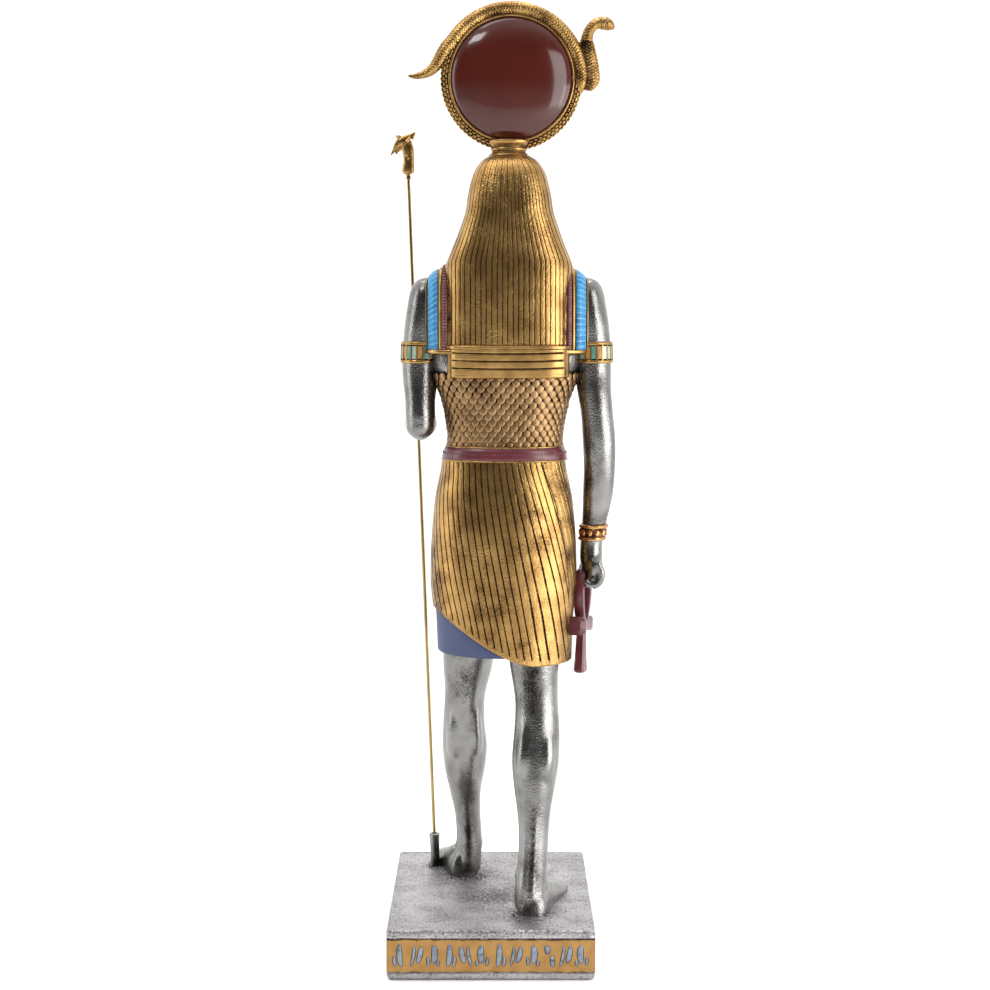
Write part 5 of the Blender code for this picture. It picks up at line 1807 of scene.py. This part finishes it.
@dataclass(frozen=True)
class Kilt:
    """Wrapped gold kilt with swept pleats and a slanting hem, its under-kilt and its apron."""

    pleats: int = 58
    groove: float = 0.13
    top: float = 142.8
    apron: tuple = ((0.8, -14.8, 143, 4.2, 1.4), (0.8, -17.8, 131, 5.0, 1.4), (0.8, -19.8, 118, 5.8, 1.4),
                    (0.8, -20.4, 101, 6.6, 1.4), (0.8, -20.6, 83, 7.2, 1.4))

    @staticmethod
    def hem(share: np.ndarray) -> np.ndarray:
        """Height of the hem: low on the right, high on the left, parted in front."""
        degrees = share * 360
        rise = 17 * ease((degrees + 30) / 110)
        wrap = 9 * ease((np.abs(degrees) - 110) / 60)
        seam = ease((np.abs(degrees) - 170) / 10)
        return (77.4 + rise + wrap) * (1 - seam) + 95 * seam

    @staticmethod
    def swept(start: np.ndarray, down: float) -> np.ndarray:
        """Where a pleat that starts at a place under the belt has got to, a share of the way down."""
        degrees = start * 360
        sweep = 30 + 14 * ease((5 - degrees) / 30)
        sweep = sweep * ease((180 - np.abs(degrees)) / 110)
        return start - sweep / 360 * down**1.1

    @staticmethod
    def wrap(at: np.ndarray, down: float) -> tuple[np.ndarray, np.ndarray]:
        """Where the cloth lies under the wrap's edge, and the edge's dark line, from 0 to 1."""
        seam = -37 - 26 * (1 - (1 - down) ** 2.2)
        seam = seam + 2.6 * math.exp(-(((down - 0.285) / 0.012) ** 2))
        past = seam - at * 360
        behind = ease(past / 1.6 + 0.5) * ease((at * 360 + 150) / 20)
        return behind, np.exp(-((past / 1.5) ** 2))

    def pleated(self) -> None:
        """Casts the outer kilt."""
        share = groove_shares(self.pleats)
        rib = np.round(share * self.pleats)
        dice = np.random.default_rng(9)
        shift = dice.uniform(-0.05, 0.05, self.pleats + 2)[(rib + self.pleats // 2).astype(int)]
        grids, deep = [], []
        downs = np.concatenate([np.linspace(0, 0.985, 54), [0.993, 1.0]])
        cut = ditch(share * self.pleats, 0.045)
        belly = 0.012 * np.cos(share * self.pleats * FULL_TURN)
        for down in downs:
            wander = (shift * ease(down * 4) + 0.025 * np.sin(down * 17 + rib * 1.7)) / self.pleats
            at = self.swept(share + wander, down)
            z = self.top + (self.hem(at) - self.top) * down
            open_ = 1.0 if down < 0.98 else 0.35
            behind, line = self.wrap(at, down)
            grids.append(KILT.points(at, z, -self.groove * cut * open_ - belly - 0.35 * behind))
            pleat = inked(share * self.pleats) * (1.0 if down < 0.98 else 0.3) * (1 - 0.6 * behind)
            # A broad darker band across the back a little above the middle, and darker towards the hem and towards
            # the figure's left.
            back_dark_band = 0.4 * np.exp(-(((z - 127 - 2 * np.sin(at * 25)) / 5.5) ** 2))
            back_dark_band = back_dark_band * ease((0.14 - np.abs(at)) / 0.06)
            darker_low_and_left = 0.24 * ease((128 - z) / 12) + 0.1 * ease((at - 0.1) / 0.08)
            deep.append(np.maximum.reduce([pleat, line * 0.9, behind * 0.4, back_dark_band, darker_low_and_left]))
        hem_share = self.swept(share, 1.0)
        for grow, lift, dark in ((-0.35, -0.15, 0.2), (-0.75, 0.1, 0.9), (-3.0, 0.6, 1.0)):
            grids.append(KILT.points(hem_share, self.hem(hem_share) + lift, grow))
            deep.append(np.full(share.shape, dark))
        grid = np.stack(grids)
        cavity = np.clip(np.stack(deep) + 0.08 * ripple(grid, 11, 6), 0, 1)
        tube_piece("kilt", grid, GOLD, cavity)

    def under(self) -> None:
        """Casts the plain under-kilt."""
        share = np.linspace(-0.5, 0.5, 160, endpoint=False)
        heights = np.array([140, 130, 120, 110, 100, 92, 86, 82, 80.5, 80.1, 80.0, 80.3])
        grow = np.array([-1, -1, -0.9, -0.85, -0.8, -0.8, -0.8, -0.8, -0.8, -0.95, -1.3, -2.5])
        grid = KILT.grid(share, heights, grow[:, None])
        cavity = np.clip(0.2 * ripple(grid, 12, 2) + np.array([0] * 9 + [0.2, 0.6, 1])[:, None], 0, 1)
        tube_piece("under_kilt", grid, SLATE, cavity)

    def front(self) -> None:
        """Casts the apron with its inlaid bars."""
        grid = limb(list(self.apron), 120, 72, power=4.0)
        down = np.linspace(0, 1, 120)[:, None] * np.ones((1, 72))
        bars = ditch(down * 17, 0.12)
        edge = np.abs(grid[..., 0] - 0.8) / np.interp(down, [0, 1], [4.2, 7.2])
        frame_line = np.exp(-(((edge - 0.78) / 0.06) ** 2))
        cavity = np.clip(np.maximum(bars * (edge < 0.78), frame_line), 0, 1)
        tube_piece("apron", grid, BRIGHT_GOLD, cavity)
        slabs = {TURQUOISE: [], MAROON: [], AMBER: []}
        kinds = (TURQUOISE, MAROON, TURQUOISE, AMBER)
        keys = flow(list(self.apron), 200)
        for k in range(1, 17):
            down = (k + 0.5) / 17.6
            x, y, z, half, thick = (np.interp(down, np.linspace(0, 1, 200), keys[:, i]) for i in range(5))
            ends = [(x + aside * half * 0.68, y - thick * 0.97, z, 0.9, 0.3) for aside in (-1, 1)]
            bar = limb(ends, 6, 14, power=4, side=(0, 0, 1))
            slabs[kinds[k % 4]].append(bar)
        for finish, bars in slabs.items():
            points, faces = join_tubes(bars)
            piece(f"apron_{finish.name}", mesh_of("bars", points, faces, None, 40), finish)

    def build(self) -> None:
        """Makes the kilt."""
        self.pleated()
        self.under()
        self.front()


# Headdress and ankh


@dataclass(frozen=True)
class SunDisc:
    """Red sun disc in a ring of small bricks, with a snake lying over its upper half."""

    centre: tuple = (-1.4, 0.0, 260.2)
    radius: float = 19.4
    bulge: float = 6.2
    ring: float = 1.6
    around: int = 82
    scale_pitch: float = 0.95
    snake: float = 2.3
    start: float = -12.0
    end: float = 146.0
    tail: tuple = ((19.2, 0.0, 269.3, 2.15), (21.2, 0.0, 265.9, 2.05), (23.4, 0.0, 263.1, 1.7),
                   (26.4, 0.0, 261.5, 1.25), (29.0, 0.0, 261.0, 0.8), (30.8, 0.0, 261.2, 0.3))
    cobra: tuple = (
        (-25.0, -0.2, 256.8, 1.4, 1.1), (-25.4, -0.4, 258.8, 3.1, 1.6), (-25.3, -0.6, 263.0, 3.45, 1.7),
        (-24.9, -0.6, 267.5, 3.0, 1.6), (-24.8, -0.4, 271.5, 2.1, 1.6), (-25.6, -0.2, 274.9, 1.7, 1.6),
        (-27.7, 0.0, 277.0, 1.75, 1.8), (-30.4, 0.0, 277.2, 2.1, 2.2), (-32.4, 0.0, 276.3, 1.5, 1.7),
        (-33.4, 0.0, 275.7, 0.5, 0.6),
    )

    def round(self, reach: float, degrees: np.ndarray, y: float = 0.0) -> np.ndarray:
        """Points round the disc: 0 towards the figure's right, growing over the top."""
        turn = np.radians(degrees)
        x = self.centre[0] - reach * np.cos(turn)
        return np.stack([x, np.full(x.shape, y), self.centre[2] + reach * np.sin(turn)], -1)

    def lens(self) -> None:
        """Casts the glossy lens and its thin gold rim."""
        rings = []
        for turn in np.linspace(0.02, math.pi - 0.02, 60):
            ring = self.round(self.radius * math.sin(turn), np.linspace(0, 360, 120, endpoint=False),
                              self.bulge * math.cos(turn))
            rings.append(ring)
        grid = np.stack(rings)
        away = np.hypot(grid[..., 0] - self.centre[0], grid[..., 2] - self.centre[2]) / self.radius
        cavity = np.clip((away - 0.955) / 0.04, 0, 1) * 0.9
        tube_piece("sun_disc", grid, DISC_RED, cavity)
        for word, y in (("back", 1.5), ("front", -1.5)):
            spots = self.round(self.radius - 0.1, np.linspace(0, 360, 121), y)
            line = limb([(*spot, 0.42, 0.42) for spot in spots], 200, 10, side=(0, 1, 0))
            tube_piece(f"disc_rim_{word}", line, BRIGHT_GOLD)

    def bricks(self) -> None:
        """Casts the ring and lays its rows of bricks."""
        middle = self.radius + self.ring - 0.4
        spots = self.round(middle, np.linspace(0, 360, 121))
        grid = limb([(*spot, self.ring * 0.86, self.ring * 0.86) for spot in spots], 240, 20, side=(0, 1, 0))
        tube_piece("disc_ring", grid, GOLD, np.full(grid.shape[:2], 0.8))
        places, outs, sides = [], [], []
        for row, lean in enumerate(range(-45, 226, 34)):
            degrees = (np.arange(self.around) + (row % 2) / 2) * 360 / self.around
            core = self.round(middle, degrees)
            outwards = unit(core - np.array(self.centre))
            out = math.sin(math.radians(lean)) * outwards + math.cos(math.radians(lean)) * BACKWARDS
            places.append(core + out * self.ring * 0.84)
            outs.append(out)
            sides.append(unit(np.cross(BACKWARDS, outwards)))
        Repeat("disc_ring_bricks", GOLD, 0.06, 0.12, 8).lay(
            stud(0.68, 0.34, 0.28, power=4.0, count=8), *map(np.concatenate, (places, outs, sides)))

    def scaled(self, stations: list, rows: int, side: tuple) -> tuple[np.ndarray, np.ndarray]:
        """Body of a snake with small lozenge scales.

        Args:
            stations: Places along it with two half sizes each.
            rows: Rings along it.
            side: Direction of the first half size.

        Returns:
            Grid of points, and how deep between the scales each lies.
        """
        columns = 40
        grid = limb(stations, rows, columns, side=side)
        centre = grid.mean(axis=1, keepdims=True)
        run = run_of(centre[:, 0])[:, None] / self.scale_pitch
        turn = np.arange(columns)[None] / columns * columns / 5
        cut = np.maximum(ditch(run + turn, 0.16), ditch(run - turn, 0.16))
        return centre + (grid - centre) * (1 - 0.08 * cut[..., None]), cut

    def snakes(self) -> None:
        """Casts the snake's back, its tail and the cobra that rears beside the disc."""
        degrees = np.linspace(self.start, self.end, 40)
        reach = self.radius + self.snake - 0.1
        half = self.snake * (0.3 + 0.7 * np.minimum(np.linspace(0, 14, 40), 1) ** 0.6)
        stations = [(*spot, h, h) for spot, h in zip(self.round(reach, degrees), half)]
        stations += [(x, y, z, h, h) for x, y, z, h in self.tail]
        grid, cut = self.scaled(stations, 540, (0, 1, 0))
        away = np.hypot(grid[..., 0] - self.centre[0], grid[..., 2] - self.centre[2])
        inner = np.exp(-(((away - reach + 1.3) / 0.35) ** 2))
        run = np.linspace(0, 76, 540)[:, None]
        ticks = np.sin(run * math.pi) ** 2
        cavity = np.clip(cut * 0.5 + inner * ticks * 0.55 + 0.2 * ripple(grid, 4, 7), 0, 1)
        tube_piece("snake", grid, GOLD, cavity)
        grid, cut = self.scaled(list(self.cobra), 200, (1, 0, 0))
        keys = flow(list(self.cobra), 200)
        hood = (keys[:, 2] < 272)[:, None]
        edge = np.abs(grid[..., 0] - keys[:, :1]) / np.maximum(keys[:, 3:4], 0.3)
        shade = 0.25 + 0.35 * ease((grid[..., 0] + 27.0) / 3.5)
        dark = np.where(hood, np.clip(cut * 0.45 + shade, 0, 1) * (edge < 0.78), cut * 0.35)
        tube_piece("cobra", grid, GOLD, dark)
        rims = []
        for s in (-1, 1):
            rims.append(limb([
                (x + s * w * 0.93, y, z, 0.42, 0.62) for x, y, z, w, _ in self.cobra if z < 272.5
            ], 70, 14))
        points, faces = join_tubes(rims)
        piece("cobra_rims", mesh_of("cobra_rims", points, faces), BRIGHT_GOLD)
        eyes = [blob((-30.4, y, 277.8), (0.55, 0.4, 0.5), columns=14) for y in (-1.75, 1.75)]
        points, faces = join_tubes(eyes)
        piece("cobra_eyes", mesh_of("cobra_eyes", points, faces), EYE_GLASS)

    def neck(self) -> None:
        """Casts the turned piece between crown and disc."""
        levels = [
            (234.8, 5.0), (235.6, 6.0), (236.2, 6.4), (236.8, 6.2), (237.3, 5.5), (237.7, 5.3), (238.2, 5.7),
            (238.7, 5.6), (239.1, 5.2), (239.5, 5.4), (240.1, 6.0), (240.7, 6.3), (241.2, 6.2), (241.5, 5.4),
        ]
        keys = flow([(z, 0, 0, r) for z, r in levels], 60)
        turn = np.linspace(0, FULL_TURN, 64, endpoint=False)
        grid = np.stack([
            np.stack([-0.6 + r * np.sin(turn), 1.2 + r * 0.75 * np.cos(turn), np.full(64, z)], -1)
            for z, _, _, r in keys
        ])
        dips = ((234, 0), (236.4, 0), (237.6, 0.8), (238.4, 0), (239.2, 0.8), (240.6, 0), (244, 0))
        valley = np.interp(keys[:, 0], *zip(*dips))
        tube_piece("disc_neck", grid, BRIGHT_GOLD, np.repeat(valley[:, None], 64, 1))

    def build(self) -> None:
        """Makes the headdress."""
        self.lens()
        self.bricks()
        self.snakes()
        self.neck()


@dataclass(frozen=True)
class Ankh:
    """Looped cross that hangs from the right fist with its face turned to the side."""

    centre: tuple = (-24.2, 0.6, 87.7)
    turn: float = math.radians(18)
    tilt: float = math.radians(6)
    thick: float = 3.9
    loop_height: float = 17.0
    loop_width: float = 11.4
    shaft: tuple = ((1.2, 1.3, 1.4), (-3.0, 1.4, 1.4), (-11.0, 2.1, 1.6), (-14.0, 2.6, 1.8),
                    (-15.0, 2.5, 1.75), (-15.5, 1.9, 1.2))
    arm: tuple = ((-9.0, 2.1, 1.3), (-8.4, 2.4, 1.5), (-6.9, 2.3, 1.5), (-4.6, 1.5, 1.5), (4.6, 1.5, 1.5),
                  (6.4, 2.9, 3.4), (7.8, 3.0, 3.5), (9.0, 1.9, 2.0))

    def spot(self, along: np.ndarray, up: np.ndarray, across: np.ndarray) -> np.ndarray:
        """Points along its arms, up its shaft and across its thickness."""
        c, s = math.cos(self.turn), math.sin(self.turn)
        ct, st = math.cos(self.tilt), math.sin(self.tilt)
        axes = np.array([(s * ct, c * ct, st), (-s * st, -c * st, ct), (c, -s, 0.0)])
        return np.array(self.centre) + np.stack(np.broadcast_arrays(along, up, across), -1) @ axes

    def bar(self, levels: tuple, upright: bool) -> np.ndarray:
        """Bar with faceted ends from levels: place along it, half height or width, and half thickness."""
        u, v = rounded(np.linspace(0, FULL_TURN, 16, endpoint=False) + FULL_TURN / 32, 7.0)
        rings = []
        for reach, width, deep in levels:
            spots = (u * width, np.full(16, reach)) if upright else (np.full(16, reach), u * width)
            rings.append(self.spot(*spots, v * deep))
        return np.stack(rings)

    def loop(self) -> np.ndarray:
        """Band round a tear outline, its ends meeting inside the crossing."""
        turn = np.linspace(0.0, FULL_TURN, 72)
        rise = 0.5 - 0.5 * np.cos(turn)
        taper = 0.36 + 0.64 * rise**0.7
        along = np.sin(turn) * self.loop_width / 2 * taper
        up = self.loop_height * rise * 0.97 + self.loop_height * 0.03
        inward = unit(np.stack([-along, self.loop_height * 0.58 - up], -1)) * 1.35
        ring = np.linspace(0, FULL_TURN, 14, endpoint=False) + FULL_TURN / 28
        u, v = rounded(ring, 4.5)
        aside, above = along[:, None] + inward[:, :1] * u, up[:, None] + inward[:, 1:] * u
        return self.spot(aside, above, v * self.thick * 0.42)

    def build(self) -> None:
        """Casts the ankh."""
        points, faces = join_tubes([self.bar(self.shaft, True), self.bar(self.arm, False), self.loop()])
        cavity = np.clip(0.3 + 0.3 * ripple(points, 3, 3), 0, 1)
        piece("ankh", mesh_of("ankh", points, faces, cavity, 32), MAROON)


# Studio


@dataclass(frozen=True)
class SoftBox:
    """Rectangular studio light."""

    name: str
    place: tuple
    aim: tuple
    size: tuple
    watts: float

    def build(self) -> None:
        """Hangs the light."""
        lamp = bpy.data.lights.new(self.name, "AREA")
        lamp.shape = "RECTANGLE"
        lamp.size, lamp.size_y = self.size
        lamp.energy = self.watts
        made = bpy.data.objects.new(self.name, lamp)
        bpy.context.scene.collection.objects.link(made)
        made.location = self.place
        direction = Vector(self.aim) - Vector(self.place)
        made.rotation_euler = direction.to_track_quat("-Z", "Y").to_euler()


@dataclass(frozen=True)
class Studio:
    """Pale floor, bright surround with a dark belt behind the camera, soft boxes and the camera."""

    camera_place: tuple = (-0.001273, 0.58126, 0.20801)
    pitch: float = math.radians(6.1446)
    lens: float = 66.44
    white: float = 1.35
    belt: tuple = ((0.44, 0.5), (0.49, 0.3), (0.53, 0.06), (0.76, 0.05), (0.85, 0.35), (0.93, 1.0))
    boxes: tuple = (
        SoftBox("right_box", (-0.6, 0.5, 0.3), (0, 0, 0.16), (0.4, 0.75), 4.4),
        SoftBox("arm_box", (-0.66, 0.2, 0.08), (0, 0, 0.15), (0.4, 0.4), 2.0),
        SoftBox("glow_box", (0.45, 0.45, 0.9), (0, 0, 0.27), (0.3, 0.16), 1.8),
        SoftBox("left_box", (0.84, 0.1, 0.3), (0, 0, 0.14), (0.25, 0.7), 1.5),
        SoftBox("top_box", (0.05, -0.12, 1.0), (0, 0, 0.1), (0.8, 0.4), 4.0),
    )

    def floor(self) -> None:
        """Lays the floor."""
        mesh = bpy.data.meshes.new("floor")
        mesh.from_pydata([(-1, -1, 0), (1, -1, 0), (1, 1, 0), (-1, 1, 0)], [], [(0, 1, 2, 3)])
        made = bpy.data.objects.new("floor", mesh)
        bpy.context.scene.collection.objects.link(made)
        material = bpy.data.materials.new("floor_paper")
        material.use_nodes = True
        shader = material.node_tree.nodes["Principled BSDF"]
        shader.inputs["Base Color"].default_value = (0.96, 0.96, 0.96, 1)
        shader.inputs["Roughness"].default_value = 0.9
        mesh.materials.append(material)

    def surround(self) -> None:
        """Paints the surround: white in front, and behind the camera a dark belt over the horizon."""
        world = bpy.data.worlds.new("surround")
        bpy.context.scene.world = world
        world.use_nodes = True
        wires = Wiring(world.node_tree)
        direction = wires.add("ShaderNodeTexCoord")["Generated"]
        axes = wires.add("ShaderNodeSeparateXYZ", {0: direction})
        raised = wires.add("ShaderNodeMapRange", {"From Min": -1.0, "Value": axes["Z"]})["Result"]
        height = wires.ramp(raised, tuple((at, (value,) * 3) for at, value in self.belt))
        behind = wires.add("ShaderNodeMapRange", {
            "From Min": -0.25, "From Max": 0.5, "Value": axes["Y"],
        })["Result"]
        mixed = wires.add("ShaderNodeMix", {
            "A": (*(self.white,) * 3, 1), "Factor": behind, "B": height,
        }, data_type="RGBA")
        wires.feed(world.node_tree.nodes["Background"], {"Color": mixed["Result"], "Strength": 1.0})

    def camera(self) -> None:
        """Stands the camera at the photograph's place."""
        data = bpy.data.cameras.new("camera")
        data.lens = self.lens
        data.sensor_width = 36.0
        made = bpy.data.objects.new("camera", data)
        bpy.context.scene.collection.objects.link(made)
        made.location = self.camera_place
        made.rotation_euler = (math.pi / 2 - self.pitch, 0, math.pi)
        bpy.context.scene.camera = made

    def build(self) -> None:
        """Sets up the studio."""
        self.camera()
        self.floor()
        self.surround()
        for box in self.boxes:
            box.build()
        bpy.context.scene.view_settings.view_transform = "Standard"


def main() -> None:
    """Builds every part of the figure round the frame, then the studio."""
    for part in (
        Plinth(), Sceptre(), LEFT_LEG, RIGHT_LEG, LEFT_ARM, RIGHT_ARM, FalconHead(), Wig(), Collar(),
        Corselet(), Belt(), Kilt(), SunDisc(), Ankh(), Studio(),
    ):
        log.info("building %s", type(part).__name__)
        part.build()


if __name__ == "__main__":
    logging.basicConfig(level=logging.INFO, format="%(message)s")
    main()
